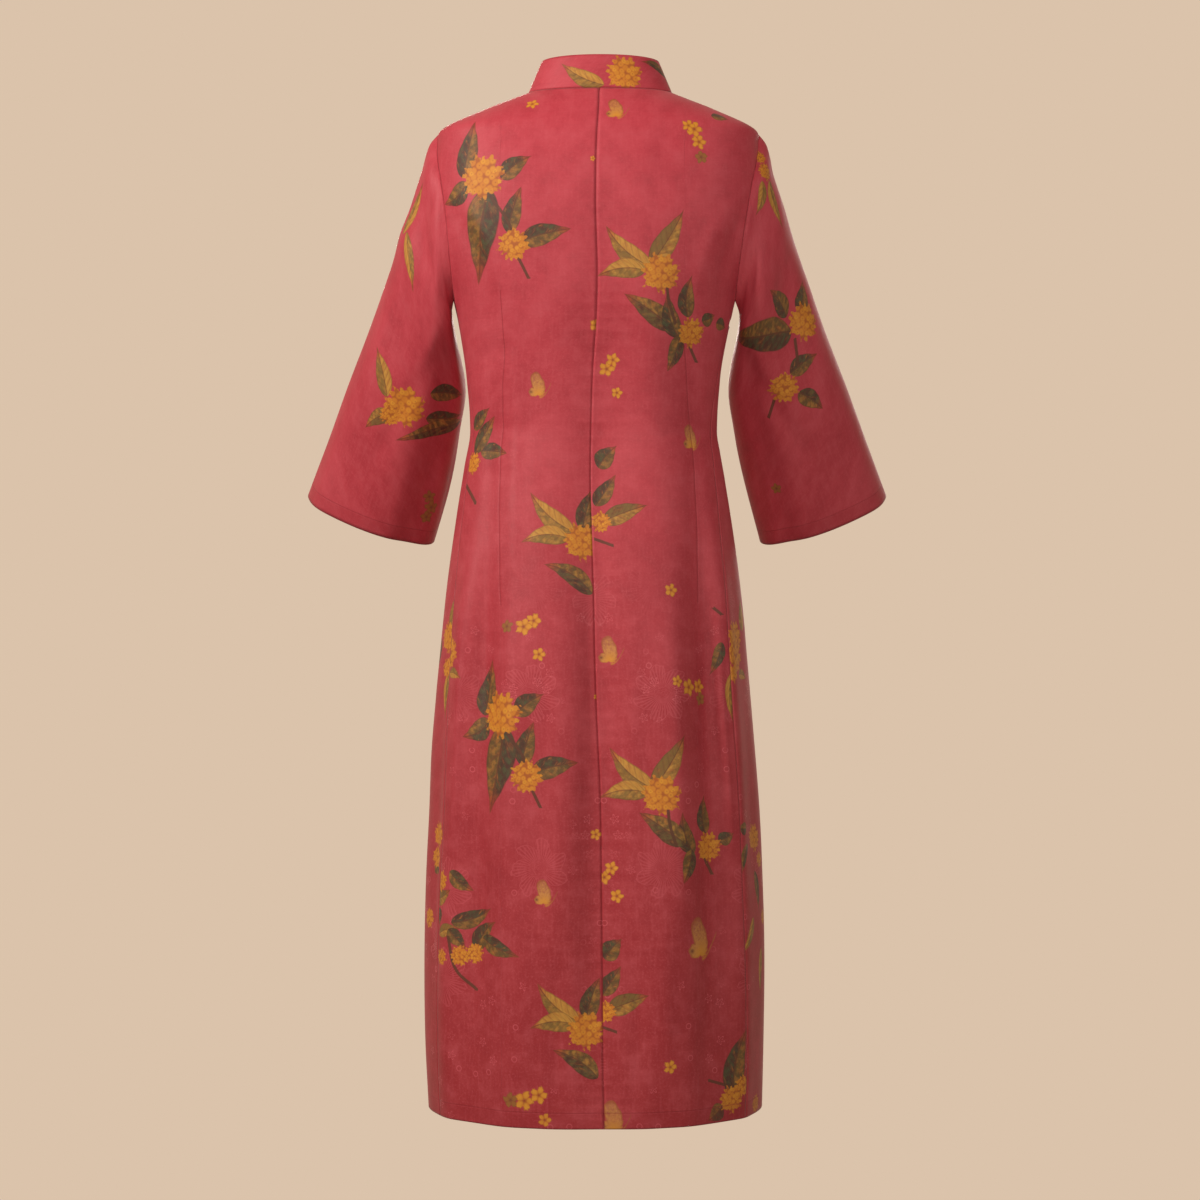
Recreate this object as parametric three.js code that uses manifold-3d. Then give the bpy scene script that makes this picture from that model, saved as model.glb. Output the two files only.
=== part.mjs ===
// A loose, long qipao in printed silk, filled out as if worn, with nobody in it.
// Millimetres, +Z up. The front faces -Y, the back +Y, and the wearer's left is +X.
// The origin lies between the shoulders, at the height where collar and shoulder seams meet.
// Each cloth piece is a closed wall whose outer face lies on the garment's form.
import * as THREE from 'three';
import { mergeVertices } from 'three/addons/utils/BufferGeometryUtils.js';
import Module from 'manifold-3d';

const wasm = await Module();
wasm.setup();

// Driving sizes
const CLOTH = 1.5;            // wall of the silk
const COLLAR_CLOTH = 2.2;     // wall of the stiffened collar
const SEAM_GAP = 0.3;         // space between two pieces at a seam
const HEM_Z = -1200;          // height of the hem
const UNDERARM_Z = -246;      // lowest point of the armhole
const OPENING_END_Z = -280;   // where the slanting opening meets the side seam
const SHOULDER_TIP_Z = -43;   // outer end of the shoulder seam
const NECK_HALF_WIDTH = 86;   // half the neckline's width
const NECK_BACK_DROP = 2.5;   // neckline at the centre back, below the side of the neck
const NECK_FRONT_DROP = 60;   // neckline at the centre front
const COLLAR_HEIGHT = 38;     // top of the collar above the side of the neck
const COLLAR_FRONT_TOP = -21; // top of the collar at the centre front
const COLLAR_HALF_WIDTH = 70; // top edge of the collar
const COLLAR_BACK = 46;
const COLLAR_FRONT = 66;
const COLLAR_CORNER = 13;     // rounding of the collar's two front corners
const UNDERLAP = 30;          // width of the under panel beneath the main front
const TUCK = CLOTH + 1.5;     // how far the underlap lies inside the form
const TUCK_RAMP = 12;         // width of the step down to the underlap

// How finely each stretch is divided
const NECK_BACK_STEPS = 6;
const NECK_FRONT_STEPS = 12;
const SHOULDER_STEPS = 6;
const ARMHOLE_STEPS = 12;
const SLEEVE_STEPS = 14;
const COLLAR_ROWS = 3;

// The knotted frogs of the opening
const FROG_LENGTH = 25;       // each strip, from the opening's edge
const FROG_WIDTH = 5;
const FROG_THICK = 2.2;
const FROG_LIFT = 0.35;       // space under a strip
const FROG_STEPS = 6;
const KNOT_RADIUS = 4.6;
const KNOT_HEIGHT = 5.2;      // the knot's centre above the cloth
const LOOP_RADIUS = 5.8;      // middle of the loop's cord, round the knot
const LOOP_CORD = 1.5;        // half the loop's cord
const LOOP_HEIGHT = 2.2;
const LOOP_MOUTH = 7.5;       // width of the loop's open side, where the knot's strip passes

// The garment's form at each height: half width, depth behind and in front of the
// shoulder line, how far the section leans towards +X, and its squareness
const BODY = [
  { z: 8, half_width: 64, back: 43, front: 12, lean: -4, square: 2.1 },
  { z: 0, half_width: 86, back: 50, front: 22, lean: -4, square: 2.1 },
  { z: -10, half_width: 112, back: 59, front: 38, lean: -3, square: 2.1 },
  { z: -20, half_width: 137, back: 67, front: 51, lean: -3, square: 2.15 },
  { z: -43, half_width: 186, back: 81, front: 74, lean: -2, square: 2.2 },
  { z: -60, half_width: 191, back: 88, front: 83, lean: -1, square: 2.2 },
  { z: -92, half_width: 194, back: 97, front: 94, lean: 0, square: 2.2 },
  { z: -148, half_width: 193, back: 104, front: 114, lean: 1, square: 2.2 },
  { z: -190, half_width: 185, back: 105, front: 124, lean: 2, square: 2.2 },
  { z: -240, half_width: 169, back: 103, front: 128, lean: 3, square: 2.15 },
  { z: -275, half_width: 161, back: 99, front: 126, lean: 3, square: 2.1 },
  { z: -330, half_width: 152, back: 92, front: 118, lean: 4, square: 2.05 },
  { z: -400, half_width: 147, back: 88, front: 111, lean: 4, square: 2 },
  { z: -440, half_width: 153, back: 91, front: 112, lean: 4, square: 2 },
  { z: -494, half_width: 162, back: 99, front: 116, lean: 4, square: 2 },
  { z: -565, half_width: 172, back: 110, front: 120, lean: 4, square: 2 },
  { z: -637, half_width: 180, back: 118, front: 124, lean: 4, square: 2 },
  { z: -708, half_width: 187, back: 124, front: 128, lean: 4, square: 2 },
  { z: -780, half_width: 193, back: 128, front: 131, lean: 4, square: 2 },
  { z: -851, half_width: 197, back: 132, front: 134, lean: 3, square: 2 },
  { z: -922, half_width: 200, back: 135, front: 136, lean: 3, square: 2 },
  { z: -1017, half_width: 202, back: 138, front: 138, lean: 3, square: 2.05 },
  { z: -1119, half_width: 201, back: 140, front: 139, lean: 3, square: 2.1 },
  { z: -1200, half_width: 198, back: 140, front: 138, lean: 2, square: 2.15 },
];

// Where the upright seams run, in degrees: left and right are the side seams' angles from
// the side line towards the back, and back is the centre-back seam's angle past the centre.
const SEAMS = [
  { z: 8, left: 6, right: 6, back: 0 },
  { z: -148, left: 6, right: 6, back: 0 },
  { z: -246, left: 6, right: 6, back: 1 },
  { z: -330, left: 12, right: 14, back: 0 },
  { z: -400, left: 15, right: 20, back: -1 },
  { z: -494, left: 19, right: 26, back: -1 },
  { z: -565, left: 21, right: 30, back: 0 },
  { z: -708, left: 26, right: 33, back: 1 },
  { z: -780, left: 29, right: 33, back: 2 },
  { z: -922, left: 28, right: 33, back: 2.5 },
  { z: -1200, left: 26, right: 31, back: 2.5 },
];

// Heights of the rows below the armhole
const LOWER_ROWS = [UNDERARM_Z, OPENING_END_Z, -320, -370, -420, -475, -535, -600, -665, -730,
  -795, -860, -925, -990, -1055, -1110, -1160, HEM_Z];

// Soft upright folds of the body. angle is round the body from the wearer's left side
// towards the back, from and to are distances below the origin, width is the fold's half
// width in degrees, and height is outwards.
const BODY_FOLDS = [
  { angle: 33, from: 470, to: 1300, width: 7, height: 4.5 },
  { angle: 47, from: 520, to: 1240, width: 7, height: -5 },
  { angle: 61, from: 560, to: 1300, width: 8, height: 4 },
  { angle: 77, from: 430, to: 1300, width: 8, height: 2.5 },
  { angle: 91, from: 330, to: 1220, width: 6, height: -2.5 },
  { angle: 104, from: 470, to: 1300, width: 8, height: 3 },
  { angle: 121, from: 600, to: 1300, width: 7, height: 3.5 },
  { angle: 134, from: 500, to: 1160, width: 7, height: -4 },
  { angle: 148, from: 440, to: 1300, width: 7, height: 5 },
  { angle: 216, from: 470, to: 1300, width: 9, height: 4 },
  { angle: 236, from: 520, to: 1300, width: 8, height: -4 },
  { angle: 256, from: 440, to: 1300, width: 9, height: 4 },
  { angle: 275, from: 560, to: 1300, width: 8, height: -3.5 },
  { angle: 294, from: 420, to: 1300, width: 9, height: 4 },
  { angle: 313, from: 540, to: 1300, width: 8, height: -4 },
  { angle: 331, from: 480, to: 1300, width: 8, height: 4 },
];

// The armhole's edge on the body, as angle from the side line and height
const ARMHOLE_BACK = [
  { angle: 0, z: SHOULDER_TIP_Z },
  { angle: 8, z: -62 },
  { angle: 17, z: -92 },
  { angle: 23, z: -125 },
  { angle: 25, z: -158 },
  { angle: 23, z: -190 },
  { angle: 18, z: -216 },
  { angle: 12, z: -234 },
  { angle: 6, z: UNDERARM_Z },
];
const ARMHOLE_FRONT = [
  { angle: 0, z: SHOULDER_TIP_Z },
  { angle: -8, z: -60 },
  { angle: -19, z: -90 },
  { angle: -27, z: -125 },
  { angle: -30, z: -160 },
  { angle: -27, z: -192 },
  { angle: -19, z: -215 },
  { angle: -7, z: -233 },
  { angle: 6, z: UNDERARM_Z },
];

// The slanting opening from the centre-front neckline to the wearer's right side
const OPENING = [
  { angle: 270, z: -NECK_FRONT_DROP },
  { angle: 266, z: -92 },
  { angle: 256, z: -124 },
  { angle: 246, z: -158 },
  { angle: 236, z: -196 },
  { angle: 223, z: -233 },
  { angle: 203, z: -263 },
  { angle: 171, z: OPENING_END_Z },
];

// The left sleeve's rings: the ring's outer and inner points, its half depth, and how
// far its back edge tips down, in degrees. along runs from the armhole to the cuff.
const SLEEVE = [
  { along: 0, outer: [186, 0, -43], inner: [169, 4, -246], half_depth: 57, tip: 0 },
  { along: 0.06, outer: [198, -3, -58], inner: [173, -7, -260], half_depth: 60, tip: 2 },
  { along: 0.14, outer: [208, -9, -92], inner: [172, -20, -275], half_depth: 62, tip: 5 },
  { along: 0.24, outer: [223, -20, -134], inner: [168, -36, -292], half_depth: 63, tip: 8 },
  { along: 0.38, outer: [246, -44, -192], inner: [163, -58, -318], half_depth: 63, tip: 12 },
  { along: 0.53, outer: [273, -70, -260], inner: [161, -80, -350], half_depth: 62, tip: 15 },
  { along: 0.69, outer: [304, -98, -330], inner: [170, -102, -397], half_depth: 60, tip: 18 },
  { along: 0.85, outer: [334, -125, -402], inner: [184, -127, -456], half_depth: 58, tip: 20 },
  { along: 1, outer: [362, -150, -469], inner: [204, -150, -527], half_depth: 57, tip: 20 },
];

// Soft folds of the sleeves: round the ring from its outer point towards the back
const SLEEVE_FOLDS = [
  { angle: 62, from: 0.1, to: 0.62, width: 16, height: -5 },
  { angle: 98, from: 0.06, to: 0.5, width: 15, height: 4 },
  { angle: 128, from: 0.3, to: 1.2, width: 16, height: -4 },
  { angle: 40, from: 0.45, to: 1.2, width: 17, height: 3 },
  { angle: 262, from: 0.15, to: 0.7, width: 17, height: -4 },
  { angle: 300, from: 0.4, to: 1.2, width: 17, height: 3 },
];

const SILK = { color: 0xb8434b, roughness: 0.5, metalness: 0 };
const DEG = Math.PI / 180;
const NEAREST_ROUNDS = 4;      // steps taken to find the nearest place on the form
const EASE_ROUNDS = 10;        // times that a large patch's knots are evened out
const BODY_FOLD_FADE = 170;    // length over which a fold rises and dies away
const SLEEVE_FOLD_FADE = 0.2;
const MOUTH_FADE = 0.42;       // how much of the sleeve keeps the armhole's own shape

const vec = (x, y, z) => new THREE.Vector3(x, y, z);
const mix = (a, b, t) => a + (b - a) * t;
const clamp01 = (t) => Math.min(1, Math.max(0, t));
const smooth = (t) => clamp01(t) ** 2 * (3 - 2 * clamp01(t));

// Reads a column of a table at a place between its rows, on a smooth curve.
function read(table, key, column, at) {
  const sign = Math.sign(table[table.length - 1][key] - table[0][key]);
  let row = 0;
  while (row < table.length - 2 && (at - table[row + 1][key]) * sign > 0) {
    row += 1;
  }
  const slope = (i) => {
    const before = table[Math.max(0, i - 1)];
    const after = table[Math.min(table.length - 1, i + 1)];
    return (after[column] - before[column]) / (after[key] - before[key]);
  };
  const a = table[row];
  const b = table[row + 1];
  const span = b[key] - a[key];
  const t = (at - a[key]) / span;
  const bendA = slope(row) * span;
  const bendB = slope(row + 1) * span;
  const ease = t * t * (3 - 2 * t);
  return mix(a[column], b[column], ease) + t * (1 - t) ** 2 * bendA - t * t * (1 - t) * bendB;
}

const readBody = (column, z) => read(BODY, 'z', column, z);
const readSeam = (column, z) => read(SEAMS, 'z', column, z);
const signedPower = (value, power) => Math.sign(value) * Math.abs(value) ** power;

// How far the folds of a table lift the cloth at an angle and a distance along.
function foldHeight(folds, angle, along, fade) {
  let sum = 0;
  for (const fold of folds) {
    const turn = ((angle - fold.angle + 540) % 360) - 180;
    const rise = smooth((along - fold.from) / fade) * smooth((fold.to - along) / fade);
    sum += fold.height * rise * Math.exp(-((turn / fold.width) ** 2));
  }
  return sum;
}

// A point of the garment's form: angle from the wearer's left towards the back, and height.
function formPoint(angle, z) {
  const half = readBody('half_width', z);
  const depth = readBody(Math.sin(angle * DEG) >= 0 ? 'back' : 'front', z);
  const power = 2 / readBody('square', z);
  const x = half * signedPower(Math.cos(angle * DEG), power);
  const y = depth * signedPower(Math.sin(angle * DEG), power);
  const out = vec(x / half ** 2, y / depth ** 2, 0).normalize();
  const lift = foldHeight(BODY_FOLDS, angle, -z, BODY_FOLD_FADE);
  return vec(x + readBody('lean', z) + out.x * lift, y + out.y * lift, z);
}

function formNormal(angle, z) {
  const along = formPoint(angle + 0.6, z).sub(formPoint(angle - 0.6, z));
  const up = formPoint(angle, z + 1).sub(formPoint(angle, z - 1));
  return along.cross(up).normalize();
}

// Splits a curve on the form into steps of equal length; each result is an angle and height.
function evenSteps(table, steps) {
  const fine = [];
  const count = 240;
  const rows = table.map((row, i) => ({ at: i, angle: row.angle, z: row.z }));
  for (let i = 0; i <= count; i += 1) {
    const at = (i / count) * (rows.length - 1);
    fine.push({ angle: read(rows, 'at', 'angle', at), z: read(rows, 'at', 'z', at) });
  }
  const lengths = [0];
  for (let i = 1; i <= count; i += 1) {
    const a = formPoint(fine[i - 1].angle, fine[i - 1].z);
    const b = formPoint(fine[i].angle, fine[i].z);
    lengths.push(lengths[i - 1] + a.distanceTo(b));
  }
  const result = [];
  let i = 0;
  for (let step = 0; step <= steps; step += 1) {
    const target = (lengths[count] * step) / steps;
    while (i < count - 1 && lengths[i + 1] < target) {
      i += 1;
    }
    const t = clamp01((target - lengths[i]) / (lengths[i + 1] - lengths[i]));
    result.push({
      angle: mix(fine[i].angle, fine[i + 1].angle, t),
      z: mix(fine[i].z, fine[i + 1].z, t),
    });
  }
  return result;
}

// Places on the form shared by the pieces that meet there, for the wearer's left.
// mirrored() gives the same place on the right.
// turn is the place's angle round the neck itself.
const mirrored = (place) => ({
  angle: 180 - place.angle, z: place.z, turn: 180 - (place.turn ?? 0),
});

function neckBack() {
  const places = [];
  for (let i = 0; i <= NECK_BACK_STEPS; i += 1) {
    const angle = 90 * (1 - i / NECK_BACK_STEPS);
    places.push({ angle, z: -NECK_BACK_DROP * Math.sin(angle * DEG) ** 2, turn: angle });
  }
  return places;
}

function neckFront() {
  const places = [];
  for (let i = 0; i <= NECK_FRONT_STEPS; i += 1) {
    const t = i / NECK_FRONT_STEPS;
    const turn = -90 * (1 - t ** 1.25);
    const z = -NECK_FRONT_DROP * Math.sin(turn * DEG) ** 2;
    const share = (NECK_HALF_WIDTH * Math.cos(turn * DEG)) / readBody('half_width', z);
    const angle = -Math.acos(Math.min(1, share ** (readBody('square', z) / 2))) / DEG;
    places.push({ angle, z, turn });
  }
  return places;
}

function shoulder() {
  const places = [];
  for (let i = 0; i <= SHOULDER_STEPS; i += 1) {
    places.push({ angle: 0, z: (SHOULDER_TIP_Z * i) / SHOULDER_STEPS });
  }
  return places;
}

const armholeBack = evenSteps(ARMHOLE_BACK, ARMHOLE_STEPS);
const armholeFront = evenSteps(ARMHOLE_FRONT, ARMHOLE_STEPS);
const opening = evenSteps(OPENING, ARMHOLE_STEPS + 1);

// Finds the place on the form nearest to a point, starting from a place close by.
function nearestPlace(target, guess) {
  const place = { angle: guess.angle, z: guess.z };
  for (let round = 0; round < NEAREST_ROUNDS; round += 1) {
    const here = formPoint(place.angle, place.z);
    const across = formPoint(place.angle + 0.5, place.z).sub(here).multiplyScalar(2);
    const rise = formPoint(place.angle, place.z - 0.5).sub(here).multiplyScalar(-2);
    const miss = target.clone().sub(here);
    const skew = across.dot(rise);
    const area = across.lengthSq() * rise.lengthSq() - skew ** 2;
    const turn = (miss.dot(across) * rise.lengthSq() - miss.dot(rise) * skew) / area;
    const climb = (miss.dot(rise) * across.lengthSq() - miss.dot(across) * skew) / area;
    place.angle += turn;
    place.z = Math.min(place.z + climb, 0);
  }
  return place;
}

// Fills a patch between four edges of places: top and foot run across, start and end down.
// The inner knots are spread evenly between the edges and then laid on the form.
function fillPatch(top, foot, start, end, easeRounds = 0) {
  const lift = (list) => list.map((place) => formPoint(place.angle, place.z));
  const [topPoints, footPoints, startPoints, endPoints] = [top, foot, start, end].map(lift);
  const rows = [top];
  const down = start.length - 1;
  const across = top.length - 1;
  for (let j = 1; j < down; j += 1) {
    const b = j / down;
    const row = [start[j]];
    const startPull = startPoints[j].clone().sub(topPoints[0].clone().lerp(footPoints[0], b));
    const endPull = endPoints[j].clone()
      .sub(topPoints[across].clone().lerp(footPoints[across], b));
    for (let i = 1; i < across; i += 1) {
      const a = i / across;
      const target = topPoints[i].clone().lerp(footPoints[i], b);
      target.addScaledVector(startPull, 1 - a).addScaledVector(endPull, a);
      row.push(nearestPlace(target, rows[j - 1][i]));
    }
    row.push(end[j]);
    rows.push(row);
  }
  rows.push(foot);
  for (let round = 0; round < easeRounds; round += 1) {
    easeKnots(rows);
  }
  return rows;
}

// Moves each inner knot to the middle of its four neighbours, on the form.
function easeKnots(rows) {
  for (let j = 1; j < rows.length - 1; j += 1) {
    for (let i = 1; i < rows[j].length - 1; i += 1) {
      const around = [rows[j - 1][i], rows[j + 1][i], rows[j][i - 1], rows[j][i + 1]];
      const middle = vec(0, 0, 0);
      for (const place of around) {
        middle.addScaledVector(formPoint(place.angle, place.z), 1 / around.length);
      }
      rows[j][i] = nearestPlace(middle, rows[j][i]);
    }
  }
}

// A row of places across a panel at one height, from one angle to another
function levelRow(from, to, z, steps) {
  const row = [];
  for (let i = 0; i <= steps; i += 1) {
    row.push({ angle: mix(from, to, i / steps), z });
  }
  return row;
}

// Turns a grid of places into points and outward normals.
function liftGrid(places) {
  return places.map((row) => row.map((place) => ({
    point: formPoint(place.angle, place.z),
    normal: formNormal(place.angle, place.z),
  })));
}

// Moves one edge of a grid half a seam's width back from the seam. edge lists the grid's
// knots along the seam, inside their neighbours within the piece, and facing the
// neighbouring piece's normals, so that both pieces share one rim.
function drawBack(edge, inside, facing = null) {
  const seam = edge.map((knot) => knot.point.clone());
  const rims = edge.map((knot, i) => {
    const rim = knot.normal.clone();
    if (facing) {
      rim.add(facing[i]);
    }
    return rim.normalize();
  });
  edge.forEach((knot, i) => {
    const before = seam[Math.max(0, i - 1)];
    const after = seam[Math.min(seam.length - 1, i + 1)];
    const side = after.clone().sub(before).cross(rims[i]).normalize();
    if (side.dot(inside[i].point.clone().sub(seam[i])) < 0) {
      side.negate();
    }
    knot.rim = rims[i];
    knot.shift = (knot.shift ?? vec(0, 0, 0)).addScaledVector(side, SEAM_GAP / 2);
  });
}

// Builds the closed wall of a piece from its grid of knots.
function wall(grid, thickness, closed = false) {
  const rows = grid.length;
  const columns = grid[0].length;
  const positions = [];
  for (const layer of [0, 1]) {
    for (const row of grid) {
      for (const knot of row) {
        const rim = knot.rim ?? knot.normal;
        const point = knot.point.clone().add(knot.shift ?? vec(0, 0, 0));
        point.addScaledVector(knot.normal, -(knot.tuck ?? 0));
        point.addScaledVector(rim, -thickness * layer);
        positions.push(point.x, point.y, point.z);
      }
    }
  }
  const index = [];
  const id = (layer, j, i) => layer * rows * columns + j * columns + (i % columns);
  const quad = (a, b, c, d) => index.push(a, b, c, a, c, d);
  const last = closed ? columns : columns - 1;
  for (let j = 0; j < rows - 1; j += 1) {
    for (let i = 0; i < last; i += 1) {
      quad(id(0, j, i), id(0, j + 1, i), id(0, j + 1, i + 1), id(0, j, i + 1));
      quad(id(1, j, i), id(1, j, i + 1), id(1, j + 1, i + 1), id(1, j + 1, i));
    }
  }
  for (let i = 0; i < last; i += 1) {
    quad(id(0, 0, i), id(0, 0, i + 1), id(1, 0, i + 1), id(1, 0, i));
    quad(id(0, rows - 1, i), id(1, rows - 1, i), id(1, rows - 1, i + 1), id(0, rows - 1, i + 1));
  }
  if (!closed) {
    for (let j = 0; j < rows - 1; j += 1) {
      quad(id(0, j, 0), id(1, j, 0), id(1, j + 1, 0), id(0, j + 1, 0));
      quad(id(0, j, last), id(0, j + 1, last), id(1, j + 1, last), id(1, j, last));
    }
  }
  const geometry = new THREE.BufferGeometry();
  geometry.setAttribute('position', new THREE.Float32BufferAttribute(positions, 3));
  geometry.setIndex(index);
  return faceOut(geometry);
}

// Turns every face of a closed body round if the body is inside out.
function faceOut(geometry) {
  const p = geometry.attributes.position;
  const index = geometry.index.array;
  const corner = (i) => vec(p.getX(i), p.getY(i), p.getZ(i));
  let volume = 0;
  for (let i = 0; i < index.length; i += 3) {
    volume += corner(index[i]).dot(corner(index[i + 1]).cross(corner(index[i + 2])));
  }
  if (volume < 0) {
    const turned = [];
    for (let i = 0; i < index.length; i += 3) {
      turned.push(index[i], index[i + 2], index[i + 1]);
    }
    geometry.setIndex(turned);
  }
  return geometry;
}

const column = (grid, i) => grid.map((row) => row[i]);

// Normals that two pieces share where they meet, listed along the neckline and the armholes
const neckPlaces = [
  ...neckFront(),
  ...neckBack().reverse().slice(1),
];

// The right half of a ring of places mirrors the left half.
function neckRing() {
  const left = neckPlaces;
  const right = left.slice(0, -1).reverse().map(mirrored);
  return [...left, ...right];
}

// The collar: a band from the centre front round the back to the centre front again
function collarTop(angle) {
  const back = Math.sin(angle * DEG) >= 0;
  const depth = back ? COLLAR_BACK : COLLAR_FRONT;
  const drop = back ? 0 : (COLLAR_HEIGHT - COLLAR_FRONT_TOP) * Math.abs(Math.sin(angle * DEG)) ** 1.8;
  const x = COLLAR_HALF_WIDTH * signedPower(Math.cos(angle * DEG), 0.95);
  const y = depth * signedPower(Math.sin(angle * DEG), 0.95);
  return vec(x + BODY[0].lean, y, COLLAR_HEIGHT - drop);
}

function collarGrid() {
  const ring = neckRing();
  const base = ring.map((place) => formPoint(place.angle, place.z));
  const fromEnd = base.map(() => 0);
  for (let i = 1; i < base.length; i += 1) {
    fromEnd[i] = fromEnd[i - 1] + base[i].distanceTo(base[i - 1]);
  }
  const total = fromEnd[base.length - 1];
  const rows = [];
  for (let j = 0; j <= COLLAR_ROWS; j += 1) {
    rows.push(ring.map((place, i) => {
      const reach = Math.min(fromEnd[i], total - fromEnd[i], COLLAR_CORNER);
      const miss = COLLAR_CORNER - reach;
      const cut = COLLAR_CORNER - Math.sqrt(COLLAR_CORNER ** 2 - (miss * 0.98) ** 2);
      const top = collarTop(place.turn);
      top.lerp(base[i], cut / base[i].distanceTo(top));
      return { point: base[i].clone().lerp(top, j / COLLAR_ROWS) };
    }));
  }
  for (let j = 0; j < rows.length; j += 1) {
    for (let i = 0; i < ring.length; i += 1) {
      const before = rows[j][Math.max(0, i - 1)].point;
      const after = rows[j][Math.min(ring.length - 1, i + 1)].point;
      const up = rows[COLLAR_ROWS][i].point.clone().sub(rows[0][i].point);
      rows[j][i].normal = after.clone().sub(before).cross(up).normalize();
    }
  }
  return rows;
}

// The sleeve's rings
function sleeveRing(along, angle, side) {
  const rows = SLEEVE.map((row) => ({
    along: row.along, half_depth: row.half_depth, tip: row.tip,
    ox: row.outer[0], oy: row.outer[1], oz: row.outer[2],
    ix: row.inner[0], iy: row.inner[1], iz: row.inner[2],
  }));
  const get = (name) => read(rows, 'along', name, along);
  const outer = vec(get('ox'), get('oy'), get('oz'));
  const inner = vec(get('ix'), get('iy'), get('iz'));
  const tip = get('tip') * DEG;
  const lift = foldHeight(SLEEVE_FOLDS, angle, along, SLEEVE_FOLD_FADE);
  const depth = vec(0, Math.cos(tip), -Math.sin(tip));
  const half = outer.clone().sub(inner).multiplyScalar(0.5);
  const middle = outer.clone().add(inner).multiplyScalar(0.5);
  const scale = 1 + lift / get('half_depth');
  middle.addScaledVector(half, Math.cos(angle * DEG) * scale);
  middle.addScaledVector(depth, Math.sin(angle * DEG) * get('half_depth') * scale);
  middle.x *= side;
  return middle;
}

function armholeRing(side) {
  const places = [...armholeBack, ...armholeFront.slice(1, -1).reverse()];
  return side > 0 ? places : places.map(mirrored);
}

function sleeveGrid(side) {
  const ring = armholeRing(side);
  const count = ring.length;
  const mouth = ring.map((place) => formPoint(place.angle, place.z));
  const rows = [];
  for (let j = 0; j <= SLEEVE_STEPS; j += 1) {
    const along = (j / SLEEVE_STEPS) ** 1.15;
    const keep = (1 - clamp01(along / MOUTH_FADE)) ** 2;
    rows.push(mouth.map((point, i) => {
      const angle = (360 * i) / count;
      const plain = sleeveRing(along, angle, side);
      const pull = point.clone().sub(sleeveRing(0, angle, side)).multiplyScalar(keep);
      return { point: plain.add(pull) };
    }));
  }
  for (let j = 0; j <= SLEEVE_STEPS; j += 1) {
    for (let i = 0; i < count; i += 1) {
      const before = rows[j][(i + count - 1) % count].point;
      const after = rows[j][(i + 1) % count].point;
      const near = rows[Math.max(0, j - 1)][i].point;
      const far = rows[Math.min(SLEEVE_STEPS, j + 1)][i].point;
      const normal = after.clone().sub(before).cross(near.clone().sub(far)).normalize();
      rows[j][i].normal = normal.multiplyScalar(side);
    }
  }
  return rows;
}

const collarKnots = collarGrid();
const sleeveKnots = { 1: sleeveGrid(1), '-1': sleeveGrid(-1) };

// The collar's and the sleeves' normals at the places of a panel's edge
const collarNormals = collarKnots[0].map((knot) => knot.normal.clone());
const sleeveNormals = {
  1: sleeveKnots[1][0].map((knot) => knot.normal.clone()),
  '-1': sleeveKnots['-1'][0].map((knot) => knot.normal.clone()),
};
const sleeveBackNormals = (side) => sleeveNormals[side].slice(0, ARMHOLE_STEPS + 1);
const sleeveFrontNormals = (side) => {
  const all = sleeveNormals[side];
  const steps = [all[0]];
  for (let i = all.length - 1; i >= ARMHOLE_STEPS; i -= 1) {
    steps.push(all[i]);
  }
  return steps;
};
const neckCount = neckPlaces.length;
const collarFrontNormals = (side) => {
  const all = side > 0 ? collarNormals : [...collarNormals].reverse();
  return all.slice(0, NECK_FRONT_STEPS + 1);
};
const collarBackNormals = (side) => {
  const all = side > 0 ? collarNormals : [...collarNormals].reverse();
  return all.slice(NECK_FRONT_STEPS, neckCount).reverse();
};

// One half of the back. side is 1 for the wearer's left and -1 for the right.
function backPanel(side) {
  const place = (p) => (side > 0 ? p : mirrored(p));
  const centre = (z) => 90 + readSeam('back', z);
  const edge = (z) => (side > 0 ? readSeam('left', z) : 180 - readSeam('right', z));
  const top = [...neckBack(), ...shoulder().slice(1)].map(place);
  const steps = top.length - 1;
  const foot = levelRow(centre(UNDERARM_Z), edge(UNDERARM_Z), UNDERARM_Z, steps);
  const start = [];
  for (let j = 0; j <= ARMHOLE_STEPS; j += 1) {
    const z = mix(top[0].z, UNDERARM_Z, j / ARMHOLE_STEPS);
    start.push({ angle: centre(z), z });
  }
  start[0] = top[0];
  const places = fillPatch(top, foot, start, armholeBack.map(place), EASE_ROUNDS);
  for (const z of LOWER_ROWS.slice(1)) {
    places.push(levelRow(centre(z), edge(z), z, steps));
  }
  const grid = liftGrid(places);
  const armhole = column(grid, steps).slice(0, ARMHOLE_STEPS + 1);
  const beside = column(grid, steps - 1);
  drawBack(column(grid, 0), column(grid, 1));
  drawBack(grid[0].slice(0, NECK_BACK_STEPS + 1), grid[1], collarBackNormals(side));
  drawBack(grid[0].slice(NECK_BACK_STEPS), grid[1].slice(NECK_BACK_STEPS));
  drawBack(armhole, beside, sleeveBackNormals(side));
  drawBack(column(grid, steps).slice(ARMHOLE_STEPS), beside.slice(ARMHOLE_STEPS));
  return grid;
}

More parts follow.
